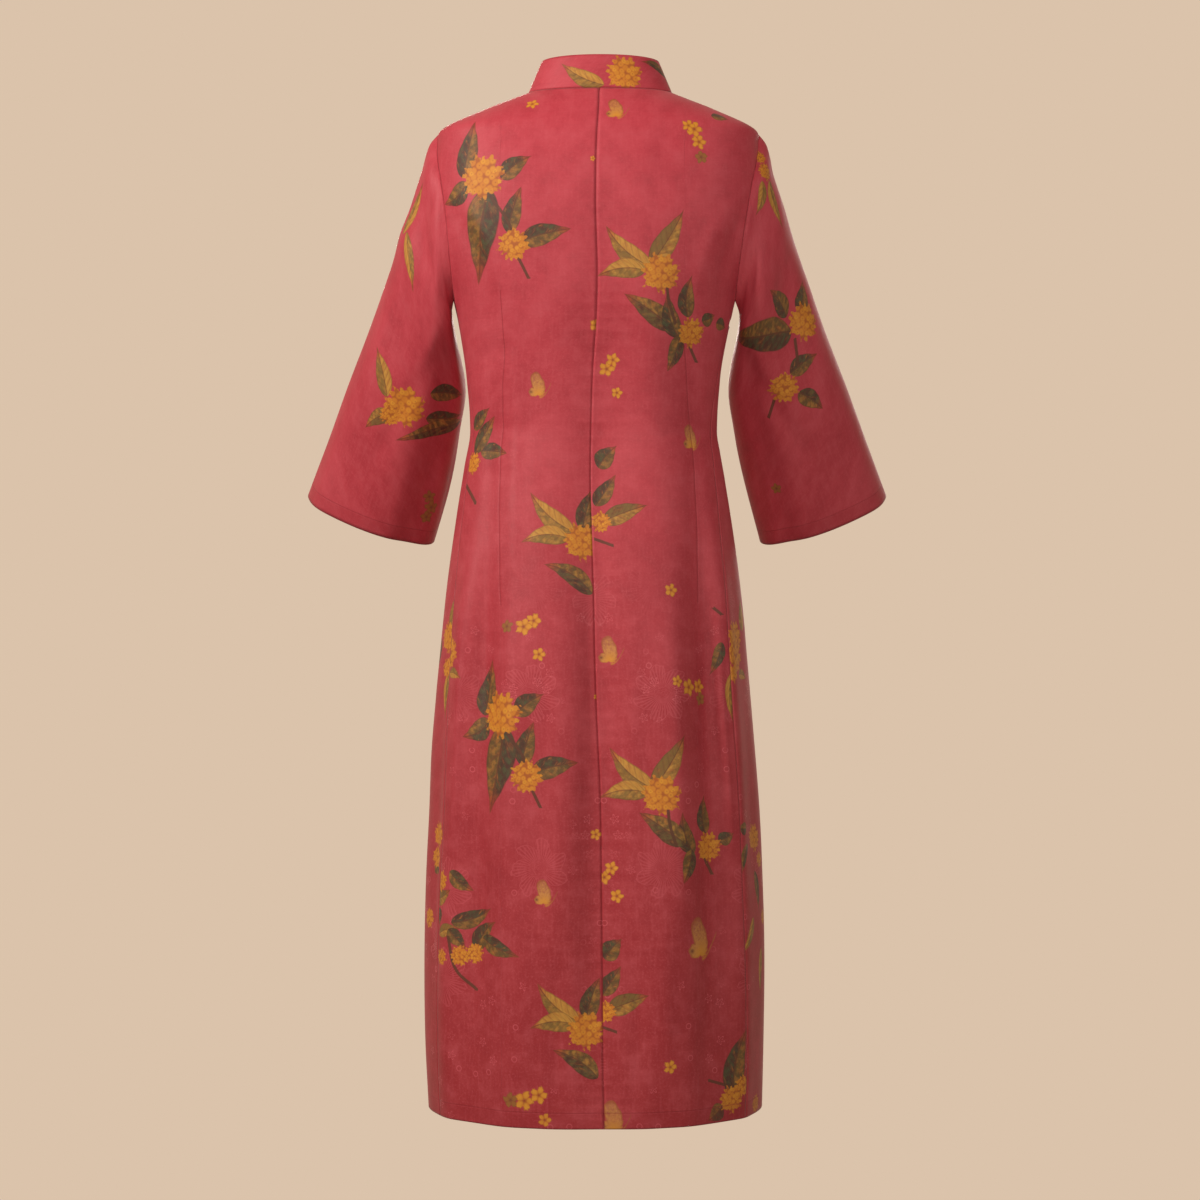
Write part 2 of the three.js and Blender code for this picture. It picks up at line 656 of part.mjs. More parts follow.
// The main front: from the left side seam to the slanting opening and the right side seam
function frontPanel() {
  const wrap = (p) => ({ angle: p.angle + 360, z: p.z });
  const left = (z) => 360 + readSeam('left', z);
  const right = (z) => 180 - readSeam('right', z);
  const top = [...neckFront(), ...shoulder().slice(1)].map(wrap);
  const steps = top.length - 1;
  const foot = levelRow(right(OPENING_END_Z), left(OPENING_END_Z), OPENING_END_Z, steps);
  const start = opening.map((p) => ({ ...p }));
  start[start.length - 1] = foot[0];
  const end = [...armholeFront.map(wrap), foot[steps]];
  const places = fillPatch(top, foot, start, end, EASE_ROUNDS);
  for (const z of LOWER_ROWS.slice(2)) {
    places.push(levelRow(right(z), left(z), z, steps));
  }
  const grid = liftGrid(places);
  const beside = column(grid, steps - 1);
  drawBack(grid[0].slice(0, NECK_FRONT_STEPS + 1), grid[1], collarFrontNormals(1));
  drawBack(grid[0].slice(NECK_FRONT_STEPS), grid[1].slice(NECK_FRONT_STEPS));
  drawBack(column(grid, steps).slice(0, ARMHOLE_STEPS + 1), beside, sleeveFrontNormals(1));
  drawBack(column(grid, steps).slice(ARMHOLE_STEPS), beside.slice(ARMHOLE_STEPS));
  drawBack(column(grid, 0).slice(ARMHOLE_STEPS + 1), column(grid, 1).slice(ARMHOLE_STEPS + 1));
  return grid;
}

// Moves a place sideways on the form by a distance, square to the opening's line.
function besideOpening(places, i, distance) {
  const before = formPoint(places[Math.max(0, i - 1)].angle, places[Math.max(0, i - 1)].z);
  const last = places.length - 1;
  const after = formPoint(places[Math.min(last, i + 1)].angle, places[Math.min(last, i + 1)].z);
  const here = places[i];
  const normal = formNormal(here.angle, here.z);
  const side = normal.clone().cross(after.sub(before)).normalize();
  const across = formPoint(here.angle + 1, here.z).sub(formPoint(here.angle, here.z));
  const rise = formPoint(here.angle, here.z + 1).sub(formPoint(here.angle, here.z));
  return {
    angle: here.angle + (distance * side.dot(across)) / across.lengthSq(),
    z: here.z + (distance * side.dot(rise)) / rise.lengthSq(),
  };
}

// The under panel: the right shoulder and chest, running on beneath the main front
function underPanel() {
  const right = (z) => 180 - readSeam('right', z);
  const neck = neckFront().map(mirrored);
  const top = [...neck.slice(1), ...shoulder().slice(1).map(mirrored)];
  const line = evenSteps(OPENING, ARMHOLE_STEPS);
  line[ARMHOLE_STEPS] = { angle: right(OPENING_END_Z), z: OPENING_END_Z };
  const rampEndZ = OPENING_END_Z + TUCK_RAMP;
  const start = line.map((p, i) => besideOpening(line, i, -TUCK_RAMP));
  start[0] = top[0];
  start[ARMHOLE_STEPS] = { angle: right(rampEndZ), z: rampEndZ };
  const foot = top.map((p, i) => {
    const z = mix(rampEndZ, UNDERARM_Z, i / (top.length - 1));
    return { angle: right(z), z };
  });
  const places = fillPatch(top, foot, start, armholeFront.map(mirrored));
  const whole = places.map((row, j) => {
    const lap = besideOpening(line, j, UNDERLAP);
    return [lap, line[j], ...row];
  });
  whole[0][0] = { angle: 276, z: neckFront()[0].z };
  whole[ARMHOLE_STEPS][0] = { angle: right(OPENING_END_Z) + 1, z: OPENING_END_Z - UNDERLAP };
  const grid = liftGrid(whole);
  for (const row of grid) {
    row[0].tuck = TUCK;
    row[1].tuck = TUCK;
  }
  const steps = grid[0].length - 1;
  const seamTop = formPoint(right(UNDERARM_Z), UNDERARM_Z);
  const seamFoot = formPoint(right(OPENING_END_Z), OPENING_END_Z);
  const seamRow = grid[ARMHOLE_STEPS];
  for (let i = 1; i <= steps; i += 1) {
    const t = (UNDERARM_Z - whole[ARMHOLE_STEPS][i].z) / (UNDERARM_Z - OPENING_END_Z);
    seamRow[i].point = seamTop.clone().lerp(seamFoot, t);
  }
  const neckEnd = NECK_FRONT_STEPS + 1;
  drawBack(grid[0].slice(1, neckEnd + 1), grid[1].slice(1), collarFrontNormals(-1));
  drawBack(grid[0].slice(neckEnd), grid[1].slice(neckEnd));
  drawBack(column(grid, steps), column(grid, steps - 1), sleeveFrontNormals(-1));
  drawBack(seamRow, grid[ARMHOLE_STEPS - 1]);
  return grid;
}

function silkMaterial(name) {
  return new THREE.MeshStandardMaterial({ name, ...SILK });
}

const qipao = new THREE.Group();

function addPiece(name, geometry) {
  const mesh = new THREE.Mesh(geometry, silkMaterial('silk'));
  mesh.name = name;
  qipao.add(mesh);
}

addPiece('back_left', wall(backPanel(1), CLOTH));
addPiece('back_right', wall(backPanel(-1), CLOTH));
addPiece('front', wall(frontPanel(), CLOTH));
addPiece('front_under', wall(underPanel(), CLOTH));

const plain = (geometry) => {
  geometry.deleteAttribute('normal');
  geometry.deleteAttribute('uv');
  return mergeVertices(geometry, 1e-4);
};

function toSolid(geometry) {
  const merged = plain(geometry);
  return new wasm.Manifold(new wasm.Mesh({
    numProp: 3,
    vertProperties: Float32Array.from(merged.attributes.position.array),
    triVerts: Uint32Array.from(merged.index.array),
  }));
}

function toGeometry(solid) {
  const mesh = solid.getMesh();
  const geometry = new THREE.BufferGeometry();
  geometry.setAttribute('position', new THREE.Float32BufferAttribute(mesh.vertProperties, 3));
  geometry.setIndex([...mesh.triVerts]);
  return geometry;
}

// A frog's strip: a flat band square to the opening, made from the panel's places
function frogStrip(step, side) {
  const rows = [];
  for (let j = 0; j <= FROG_STEPS; j += 1) {
    const reach = side * mix(side > 0 ? 0 : LOOP_RADIUS, FROG_LENGTH, j / FROG_STEPS);
    const place = besideOpening(opening, step, reach);
    const middle = formPoint(place.angle, place.z);
    const normal = formNormal(place.angle, place.z);
    const before = formPoint(opening[step - 1].angle, opening[step - 1].z);
    const after = formPoint(opening[step + 1].angle, opening[step + 1].z);
    const across = after.sub(before).projectOnPlane(normal).normalize();
    rows.push([-1, 1].map((edge) => ({
      point: middle.clone().addScaledVector(across, (edge * FROG_WIDTH) / 2),
      normal,
      tuck: -(FROG_LIFT + FROG_THICK),
    })));
  }
  return wall(rows, FROG_THICK);
}

// Puts a shape made flat about its own centre at a step of the opening: its X runs into
// the main front and its Z stands off the cloth.
function standOnOpening(geometry, step, height) {
  const here = opening[step];
  const normal = formNormal(here.angle, here.z);
  const inward = besideOpening(opening, step, 5);
  const centre = formPoint(here.angle, here.z);
  const x = formPoint(inward.angle, inward.z).sub(centre).projectOnPlane(normal).normalize();
  const y = normal.clone().cross(x);
  centre.addScaledVector(normal, height);
  return geometry.applyMatrix4(new THREE.Matrix4().makeBasis(x, y, normal).setPosition(centre));
}

function frogKnot(step) {
  const knot = standOnOpening(new THREE.SphereGeometry(KNOT_RADIUS, 14, 9), step, KNOT_HEIGHT);
  return toGeometry(toSolid(knot).add(toSolid(frogStrip(step, 1))));
}

function frogLoop(step) {
  const ring = standOnOpening(
    new THREE.TorusGeometry(LOOP_RADIUS, LOOP_CORD, 6, 20), step, LOOP_HEIGHT);
  const mouth = new THREE.BoxGeometry(2 * LOOP_RADIUS, LOOP_MOUTH, 4 * LOOP_CORD);
  mouth.translate(LOOP_RADIUS, 0, 0);
  const cut = standOnOpening(mouth, step, LOOP_HEIGHT);
  const loop = toSolid(ring).subtract(toSolid(cut));
  return toGeometry(loop.add(toSolid(frogStrip(step, -1))));
}

for (const [place, step] of [['neck', 1], ['chest', 6], ['side', 8]]) {
  addPiece(`frog_${place}_knot`, frogKnot(step));
  addPiece(`frog_${place}_loop`, frogLoop(step));
}

const lastKnot = collarKnots[0].length - 1;
drawBack(column(collarKnots, 0), column(collarKnots, 1));
drawBack(column(collarKnots, lastKnot), column(collarKnots, lastKnot - 1));
const neckNormals = neckRing().map((place) => formNormal(place.angle, place.z));
drawBack(collarKnots[0], collarKnots[1], neckNormals);
addPiece('collar', wall(collarKnots, COLLAR_CLOTH));

for (const [name, side] of [['sleeve_left', 1], ['sleeve_right', -1]]) {
  const knots = sleeveKnots[side];
  const bodyNormals = armholeRing(side).map((place) => formNormal(place.angle, place.z));
  const around = (row) => [row[row.length - 1], ...row, row[0]];
  const seam = around(knots[0]).map((knot) => ({ ...knot, point: knot.point.clone() }));
  drawBack(seam, around(knots[1]), around(bodyNormals));
  knots[0].forEach((knot, i) => {
    knot.rim = seam[i + 1].rim;
    knot.shift = seam[i + 1].shift;
  });
  addPiece(name, wall(knots, CLOTH, true));
}

export default qipao;
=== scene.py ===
import bpy
import numpy as np
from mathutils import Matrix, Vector


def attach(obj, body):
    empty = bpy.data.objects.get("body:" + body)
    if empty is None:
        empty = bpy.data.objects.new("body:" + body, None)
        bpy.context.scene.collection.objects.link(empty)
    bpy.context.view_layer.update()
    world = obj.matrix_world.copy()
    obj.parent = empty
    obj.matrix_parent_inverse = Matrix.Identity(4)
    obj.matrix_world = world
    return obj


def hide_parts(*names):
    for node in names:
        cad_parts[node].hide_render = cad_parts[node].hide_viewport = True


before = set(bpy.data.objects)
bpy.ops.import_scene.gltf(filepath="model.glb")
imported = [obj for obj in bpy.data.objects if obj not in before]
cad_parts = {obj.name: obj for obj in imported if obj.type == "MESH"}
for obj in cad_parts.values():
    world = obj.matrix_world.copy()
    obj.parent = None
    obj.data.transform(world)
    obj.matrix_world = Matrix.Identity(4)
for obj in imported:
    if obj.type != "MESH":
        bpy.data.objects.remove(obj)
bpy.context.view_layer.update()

MM = 0.001

# The view of the photograph: one of its pixels covers PIXEL millimetres at the shoulder line
PIXEL = 1.19
PHOTO_SIZE = 1200
CAMERA_DISTANCE = 2800
CAMERA_X = -3.6
CAMERA_Z = -601
SENSOR = 36

# Sizes of the garment, in millimetres
HEM_Z = -1200
UNDERARM_Z = -246
OPENING_END_Z = -280
SHOULDER_TIP_Z = -43
NECK_HALF_WIDTH = 86
NECK_BACK_DROP = 2.5
NECK_FRONT_DROP = 60
COLLAR_HEIGHT = 38
COLLAR_FRONT_TOP = -21
COLLAR_HALF_WIDTH = 70
COLLAR_BACK = 46
COLLAR_FRONT = 66
COLLAR_CORNER = 13
UNDERLAP = 30
TUCK = 3
TUCK_RAMP = 12
SILK = 0.7           # thickness of one layer of silk
HEM_DEPTH = 18       # height of the turned-up hem
CUFF_DEPTH = 9       # height of the turned-up cuff
TURN_UP = 0.6        # how much thicker the cloth is where it is turned up
TURN_UP_RAMP = 1.5   # over how much height it thickens
COLLAR_CLOTH = 2.0   # thickness of the collar, which is stiffened
COLLAR_SQUARE = 0.95  # power of the collar's top ring; 1 is an ellipse
COLLAR_DIP = 1.8     # power by which the collar's top drops towards the front
CORNER_CUT = 0.98    # share of the collar's corner that is rounded off

# How finely each stretch is divided on the coarse grid that the panels are drawn on
NECK_BACK_STEPS = 6
NECK_FRONT_STEPS = 12
SHOULDER_STEPS = 6
ARMHOLE_STEPS = 12
EASE_ROUNDS = 12

# How finely those stretches are divided in the cloth itself, at steps of 3 to 4 mm
BACK_DOWN = (80, 318)
BACK_ACROSS = (34, 38)
FRONT_DOWN = (60, 9, 230)
FRONT_ACROSS = (84, 60)
UNDER_DOWN = (66,)
UNDER_ACROSS = (8, 5, 28, 24)
COLLAR_AROUND = (54, 42, 42, 54)
COLLAR_UP = 16
SLEEVE_AROUND = (66, 66)
SLEEVE_DOWN = 133
NECK_CROWDING = 1.25    # how far the steps crowd towards the centre front
SLEEVE_CROWDING = 1.15  # how far the steps crowd towards the armhole

# The garment's form at each height: half width, depth behind and in front of the shoulder
# line, how far the section leans towards +X, and its squareness
BODY_COLUMNS = ("z", "half_width", "back", "front", "lean", "square")
BODY = [
    (8, 64, 43, 12, -4, 2.1),
    (0, 86, 50, 22, -4, 2.1),
    (-10, 112, 59, 38, -3, 2.1),
    (-20, 137, 67, 51, -3, 2.15),
    (-43, 186, 81, 74, -2, 2.2),
    (-60, 191, 88, 83, -1, 2.2),
    (-92, 194, 97, 94, 0, 2.2),
    (-148, 193, 104, 114, 1, 2.2),
    (-190, 185, 105, 124, 2, 2.2),
    (-240, 169, 103, 128, 3, 2.15),
    (-275, 161, 99, 126, 3, 2.1),
    (-330, 152, 92, 118, 4, 2.05),
    (-400, 147, 88, 111, 4, 2),
    (-440, 153, 91, 112, 4, 2),
    (-494, 162, 99, 116, 4, 2),
    (-565, 172, 110, 120, 4, 2),
    (-637, 180, 118, 124, 4, 2),
    (-708, 187, 124, 128, 4, 2),
    (-780, 193, 128, 131, 4, 2),
    (-851, 197, 132, 134, 3, 2),
    (-922, 200, 135, 136, 3, 2),
    (-1017, 202, 138, 138, 3, 2.05),
    (-1119, 201, 140, 139, 3, 2.1),
    (-1200, 198, 140, 138, 2, 2.15),
]

# The upright seams in degrees: side seams from the side line towards the back, and the
# centre-back seam past the centre
SEAM_COLUMNS = ("z", "left", "right", "back")
SEAMS = [
    (8, 6, 6, 0),
    (-148, 6, 6, 0),
    (-246, 6, 6, 1),
    (-330, 12, 14, 0),
    (-400, 15, 20, -1),
    (-494, 19, 26, -1),
    (-565, 21, 30, 0),
    (-708, 26, 33, 1),
    (-780, 29, 33, 2),
    (-922, 28, 33, 2.5),
    (-1200, 26, 31, 2.5),
]

LOWER_ROWS = [UNDERARM_Z, OPENING_END_Z, -320, -370, -420, -475, -535, -600, -665, -730,
              -795, -860, -925, -990, -1055, -1110, -1160, HEM_Z]

# The body's largest upright folds: angle from the wearer's left towards the back, first and
# last distance below the origin, half width in degrees, and height outwards
BODY_FOLDS = [
    (33, 470, 1300, 7, 4.5),
    (47, 520, 1240, 7, -5),
    (61, 560, 1300, 8, 4),
    (77, 430, 1300, 8, 2.5),
    (91, 330, 1220, 6, -2.5),
    (104, 470, 1300, 8, 3),
    (121, 600, 1300, 7, 3.5),
    (134, 500, 1160, 7, -4),
    (148, 440, 1300, 7, 5),
    (216, 470, 1300, 9, 4),
    (236, 520, 1300, 8, -4),
    (256, 440, 1300, 9, 4),
    (275, 560, 1300, 8, -3.5),
    (294, 420, 1300, 9, 4),
    (313, 540, 1300, 8, -4),
    (331, 480, 1300, 8, 4),
]
BODY_FOLD_FADE = 170

# The armhole's edge on the body and the slanting opening, as angle and height
ARMHOLE_BACK = [(0, SHOULDER_TIP_Z), (8, -62), (17, -92), (23, -125), (25, -158), (23, -190),
                (18, -216), (12, -234), (6, UNDERARM_Z)]
ARMHOLE_FRONT = [(0, SHOULDER_TIP_Z), (-8, -60), (-19, -90), (-27, -125), (-30, -160),
                 (-27, -192), (-19, -215), (-7, -233), (6, UNDERARM_Z)]
OPENING = [(270, -NECK_FRONT_DROP), (266, -92), (256, -124), (246, -158), (236, -196),
           (223, -233), (203, -263), (171, OPENING_END_Z)]

# The left sleeve's rings: the ring's outer and inner points, its half depth, and how far
# its back edge tips down. along runs from the armhole, 0, to the cuff, 1.
SLEEVE_COLUMNS = ("along", "outer_x", "outer_y", "outer_z", "inner_x", "inner_y", "inner_z",
                  "half_depth", "tip")
SLEEVE = [
    (0, 186, 0, -43, 169, 4, -246, 57, 0),
    (0.06, 198, -3, -58, 173, -7, -260, 60, 2),
    (0.14, 208, -9, -92, 172, -20, -275, 62, 5),
    (0.24, 223, -20, -134, 168, -36, -292, 63, 8),
    (0.38, 246, -44, -192, 163, -58, -318, 63, 12),
    (0.53, 273, -70, -260, 161, -80, -350, 62, 15),
    (0.69, 304, -98, -330, 170, -102, -397, 60, 18),
    (0.85, 334, -125, -402, 184, -127, -456, 58, 20),
    (1, 362, -150, -469, 204, -150, -527, 57, 20),
]
SLEEVE_FOLDS = [
    (62, 0.1, 0.62, 16, -5),
    (98, 0.06, 0.5, 15, 4),
    (128, 0.3, 1.2, 16, -4),
    (40, 0.45, 1.2, 17, 3),
    (262, 0.15, 0.7, 17, -4),
    (300, 0.4, 1.2, 17, 3),
]
SLEEVE_FOLD_FADE = 0.2
MOUTH_FADE = 0.42


def smooth(t):
    t = np.clip(t, 0, 1)
    return t * t * (3 - 2 * t)


def bell(distance, width):
    return np.exp(-((distance / width) ** 2))


def signed_power(value, power):
    return np.sign(value) * np.abs(value) ** power


def length(vectors):
    return np.linalg.norm(vectors, axis=-1, keepdims=True)


def unit(vectors):
    return vectors / np.maximum(length(vectors), 1e-9)


def read(keys, values, at):
    """Reads rows of values at places between their keys, on a smooth curve."""
    keys = np.asarray(keys, float)
    values = np.asarray(values, float)
    at = np.asarray(at, float)
    if keys[0] > keys[-1]:
        keys = keys[::-1]
        values = values[::-1]
    ends = (-1,) + (1,) * (values.ndim - 1)
    before = np.maximum(np.arange(len(keys)) - 1, 0)
    after = np.minimum(np.arange(len(keys)) + 1, len(keys) - 1)
    slope = (values[after] - values[before]) / (keys[after] - keys[before]).reshape(ends)
    row = np.clip(np.searchsorted(keys, at, side="right") - 1, 0, len(keys) - 2)
    wide = at.shape + (1,) * (values.ndim - 1)
    span = (keys[row + 1] - keys[row]).reshape(wide)
    t = (at - keys[row]).reshape(wide) / span
    ease = t * t * (3 - 2 * t)
    bend = t * (1 - t) ** 2 * slope[row] - t * t * (1 - t) * slope[row + 1]
    return values[row] * (1 - ease) + values[row + 1] * ease + bend * span


def curve_points(points, count):
    """Points on a smooth curve through a list of points."""
    return read(np.arange(len(points)), points, np.linspace(0, len(points) - 1, count))


def reader(columns, rows):
    """A dictionary of functions that read a table's columns at its first column."""
    keys = [row[0] for row in rows]

    def column(i):
        values = [row[i] for row in rows]
        return lambda at: read(keys, values, at)

    return {name: column(i) for i, name in enumerate(columns)}


BODY_AT = reader(BODY_COLUMNS, BODY)
SEAM_AT = reader(SEAM_COLUMNS, SEAMS)
SLEEVE_AT = reader(SLEEVE_COLUMNS, SLEEVE)


def fold_height(folds, angle, along, fade):
    total = np.zeros(np.broadcast(angle, along).shape)
    for middle, start, end, width, height in folds:
        turn = (angle - middle + 540) % 360 - 180
        rise = smooth((along - start) / fade) * smooth((end - along) / fade)
        total += height * rise * bell(turn, width)
    return total


def form_points(places):
    """Points of the garment's form at places given as angle and height."""
    angle = places[..., 0]
    z = places[..., 1]
    cos = np.cos(np.radians(angle))
    sin = np.sin(np.radians(angle))
    half = BODY_AT["half_width"](z)
    depth = np.where(sin >= 0, BODY_AT["back"](z), BODY_AT["front"](z))
    power = 2 / BODY_AT["square"](z)
    x = half * signed_power(cos, power)
    y = depth * signed_power(sin, power)
    out = unit(np.stack([x / half ** 2, y / depth ** 2], -1))
    lift = fold_height(BODY_FOLDS, angle, -z, BODY_FOLD_FADE)
    x = x + BODY_AT["lean"](z) + out[..., 0] * lift
    return np.stack([x, y + out[..., 1] * lift, z], -1)


def shift_places(places, turn, climb):
    return places + np.array([turn, climb])


def even_steps(table, steps):
    """Splits a curve on the form into steps of equal length."""
    fine = curve_points(table, 241)
    gaps = length(np.diff(form_points(fine), axis=0))[:, 0]
    reached = np.concatenate([[0], np.cumsum(gaps)])
    targets = np.linspace(0, reached[-1], steps + 1)
    return np.stack([np.interp(targets, reached, fine[:, i]) for i in (0, 1)], -1)


def mirrored(places):
    return np.stack([180 - places[..., 0], places[..., 1]], -1)


def around(places):
    return shift_places(places, 360, 0)


def neck_turns():
    """Angles round the neck itself, from the centre front to the wearer's left side."""
    share = np.linspace(0, 1, NECK_FRONT_STEPS + 1)
    return -90 * (1 - share ** NECK_CROWDING)


def neck_front():
    turn = np.radians(neck_turns())
    z = -NECK_FRONT_DROP * np.sin(turn) ** 2
    share = NECK_HALF_WIDTH * np.cos(turn) / BODY_AT["half_width"](z)
    angle = -np.arccos(np.minimum(1, share ** (BODY_AT["square"](z) / 2)))
    return np.stack([np.degrees(angle), z], -1)


def neck_back():
    angle = np.linspace(90, 0, NECK_BACK_STEPS + 1)
    return np.stack([angle, -NECK_BACK_DROP * np.sin(np.radians(angle)) ** 2], -1)


def shoulder():
    z = np.linspace(0, SHOULDER_TIP_Z, SHOULDER_STEPS + 1)
    return np.stack([np.zeros_like(z), z], -1)


def nearest_places(targets, guesses):
    """Places on the form nearest to points, starting from places close by."""
    places = guesses.copy()
    for _ in range(4):
        here = form_points(places)
        across = (form_points(shift_places(places, 0.5, 0)) - here) * 2
        rise = (form_points(shift_places(places, 0, -0.5)) - here) * -2
        miss = targets - here
        skew = (across * rise).sum(-1)
        wide = (across ** 2).sum(-1)
        tall = (rise ** 2).sum(-1)
        area = wide * tall - skew ** 2
        on_across = (miss * across).sum(-1)
        on_rise = (miss * rise).sum(-1)
        places[..., 0] += (on_across * tall - on_rise * skew) / area
        climb = (on_rise * wide - on_across * skew) / area
        places[..., 1] = np.minimum(places[..., 1] + climb, 0)
    return places


def fill_patch(top, foot, start, end, rounds=0):
    """Fills a patch of the form between four edges: top and foot run across, the others down."""
    down = len(start) - 1
    across = len(top) - 1
    grid = np.zeros((down + 1, across + 1, 2))
    grid[0], grid[-1], grid[:, 0], grid[:, -1] = top, foot, start, end
    edges = form_points(grid)
    share = (np.arange(1, across) / across)[:, None]
    for j in range(1, down):
        b = j / down
        target = edges[0, 1:-1] * (1 - b) + edges[-1, 1:-1] * b
        pull = edges[j, 0] - (edges[0, 0] * (1 - b) + edges[-1, 0] * b)
        far_pull = edges[j, -1] - (edges[0, -1] * (1 - b) + edges[-1, -1] * b)
        target = target + pull * (1 - share) + far_pull * share
        grid[j, 1:-1] = nearest_places(target, grid[j - 1, 1:-1])
    for _ in range(rounds):
        points = form_points(grid)
        middle = (points[:-2, 1:-1] + points[2:, 1:-1] + points[1:-1, :-2] + points[1:-1, 2:]) / 4
        grid[1:-1, 1:-1] = nearest_places(middle, grid[1:-1, 1:-1])
    return grid


def level_row(start, end, z, steps):
    return np.stack([np.linspace(start, end, steps + 1), np.full(steps + 1, float(z))], -1)


def refine_axis(grid, stops, counts):
    """Divides the rows of a grid finely; the curve may turn a corner at each stop."""
    parts = [grid[:1]]
    for first, last, count in zip(stops[:-1], stops[1:], counts):
        at = np.linspace(0, last - first, count + 1)[1:]
        parts.append(read(np.arange(last - first + 1), grid[first:last + 1], at))
    return np.concatenate(parts)


def refine(grid, row_stops, row_counts, column_stops, column_counts):
    tall = refine_axis(grid, row_stops, row_counts)
    return refine_axis(tall.swapaxes(0, 1), column_stops, column_counts).swapaxes(0, 1)


armhole_back = even_steps(ARMHOLE_BACK, ARMHOLE_STEPS)
armhole_front = even_steps(ARMHOLE_FRONT, ARMHOLE_STEPS)
opening = even_steps(OPENING, ARMHOLE_STEPS + 1)
last_row = ARMHOLE_STEPS + len(LOWER_ROWS) - 1


def back_places(side):
    """Places of one half of the back, at steps of about 3 mm; side is 1 for the wearer's left."""
    def turned(places):
        return places if side > 0 else mirrored(places)

    def centre(z):
        return 90 + SEAM_AT["back"](z)

    def edge(z):
        return SEAM_AT["left"](z) if side > 0 else 180 - SEAM_AT["right"](z)

    top = turned(np.concatenate([neck_back(), shoulder()[1:]]))
    steps = len(top) - 1
    foot = level_row(centre(UNDERARM_Z), edge(UNDERARM_Z), UNDERARM_Z, steps)
    z = np.linspace(top[0, 1], UNDERARM_Z, ARMHOLE_STEPS + 1)
    start = np.stack([centre(z), z], -1)
    start[0] = top[0]
    upper = fill_patch(top, foot, start, turned(armhole_back), EASE_ROUNDS)
    lower = np.array([level_row(centre(z), edge(z), z, steps) for z in LOWER_ROWS[1:]])
    coarse = np.concatenate([upper, lower])
    return refine(coarse, (0, ARMHOLE_STEPS, last_row), BACK_DOWN,
                  (0, NECK_BACK_STEPS, steps), BACK_ACROSS)


def front_places():
    """Places of the main front: from the opening and the right side seam to the left one."""
    top = around(np.concatenate([neck_front(), shoulder()[1:]]))
    steps = len(top) - 1

    def left(z):
        return 360 + SEAM_AT["left"](z)

    def right(z):
        return 180 - SEAM_AT["right"](z)

    foot = level_row(right(OPENING_END_Z), left(OPENING_END_Z), OPENING_END_Z, steps)
    start = opening.copy()
    start[-1] = foot[0]
    end = np.concatenate([around(armhole_front), foot[-1:]])
    upper = fill_patch(top, foot, start, end, EASE_ROUNDS)
    lower = np.array([level_row(right(z), left(z), z, steps) for z in LOWER_ROWS[2:]])
    coarse = np.concatenate([upper, lower])
    below = ARMHOLE_STEPS + 1
    return refine(coarse, (0, ARMHOLE_STEPS, below, last_row), FRONT_DOWN,
                  (0, NECK_FRONT_STEPS, steps), FRONT_ACROSS)


def beside_opening(line, distance):
    """Moves places sideways on the form by a distance, square to their line."""
    points = form_points(line)
    ahead = points[np.minimum(np.arange(len(line)) + 1, len(line) - 1)]
    behind = points[np.maximum(np.arange(len(line)) - 1, 0)]
    across = form_points(shift_places(line, 1, 0)) - points
    rise = form_points(shift_places(line, 0, 1)) - points
    side = unit(np.cross(unit(np.cross(across, rise)), ahead - behind))
    turn = distance * (side * across).sum(-1) / (across ** 2).sum(-1)
    climb = distance * (side * rise).sum(-1) / (rise ** 2).sum(-1)
    return line + np.stack([turn, climb], -1)


def under_places():
    """Places of the small front panel under the opening, and how far each is tucked in."""
    def right(z):
        return 180 - SEAM_AT["right"](z)

    top = np.concatenate([mirrored(neck_front())[1:], mirrored(shoulder())[1:]])
    line = even_steps(OPENING, ARMHOLE_STEPS)
    line[-1] = (right(OPENING_END_Z), OPENING_END_Z)
    ramp_end = OPENING_END_Z + TUCK_RAMP
    start = beside_opening(line, -TUCK_RAMP)
    start[0] = top[0]
    start[-1] = (right(ramp_end), ramp_end)
    z = np.linspace(ramp_end, UNDERARM_Z, len(top))
    foot = np.stack([right(z), z], -1)
    patch = fill_patch(top, foot, start, mirrored(armhole_front))
    lap = beside_opening(line, UNDERLAP)
    lap[0] = (276, -NECK_FRONT_DROP)
    lap[-1] = (right(OPENING_END_Z) + 1, OPENING_END_Z - UNDERLAP)
    coarse = np.concatenate([lap[:, None], line[:, None], patch], axis=1)
    columns = (0, 1, 2, NECK_FRONT_STEPS + 1, coarse.shape[1] - 1)
    fine = refine(coarse, (0, ARMHOLE_STEPS), UNDER_DOWN, columns, UNDER_ACROSS)
    ramp = (np.arange(fine.shape[1]) - UNDER_ACROSS[0]) / UNDER_ACROSS[1]
    return fine, np.broadcast_to(TUCK * (1 - smooth(ramp)), fine.shape[:2])


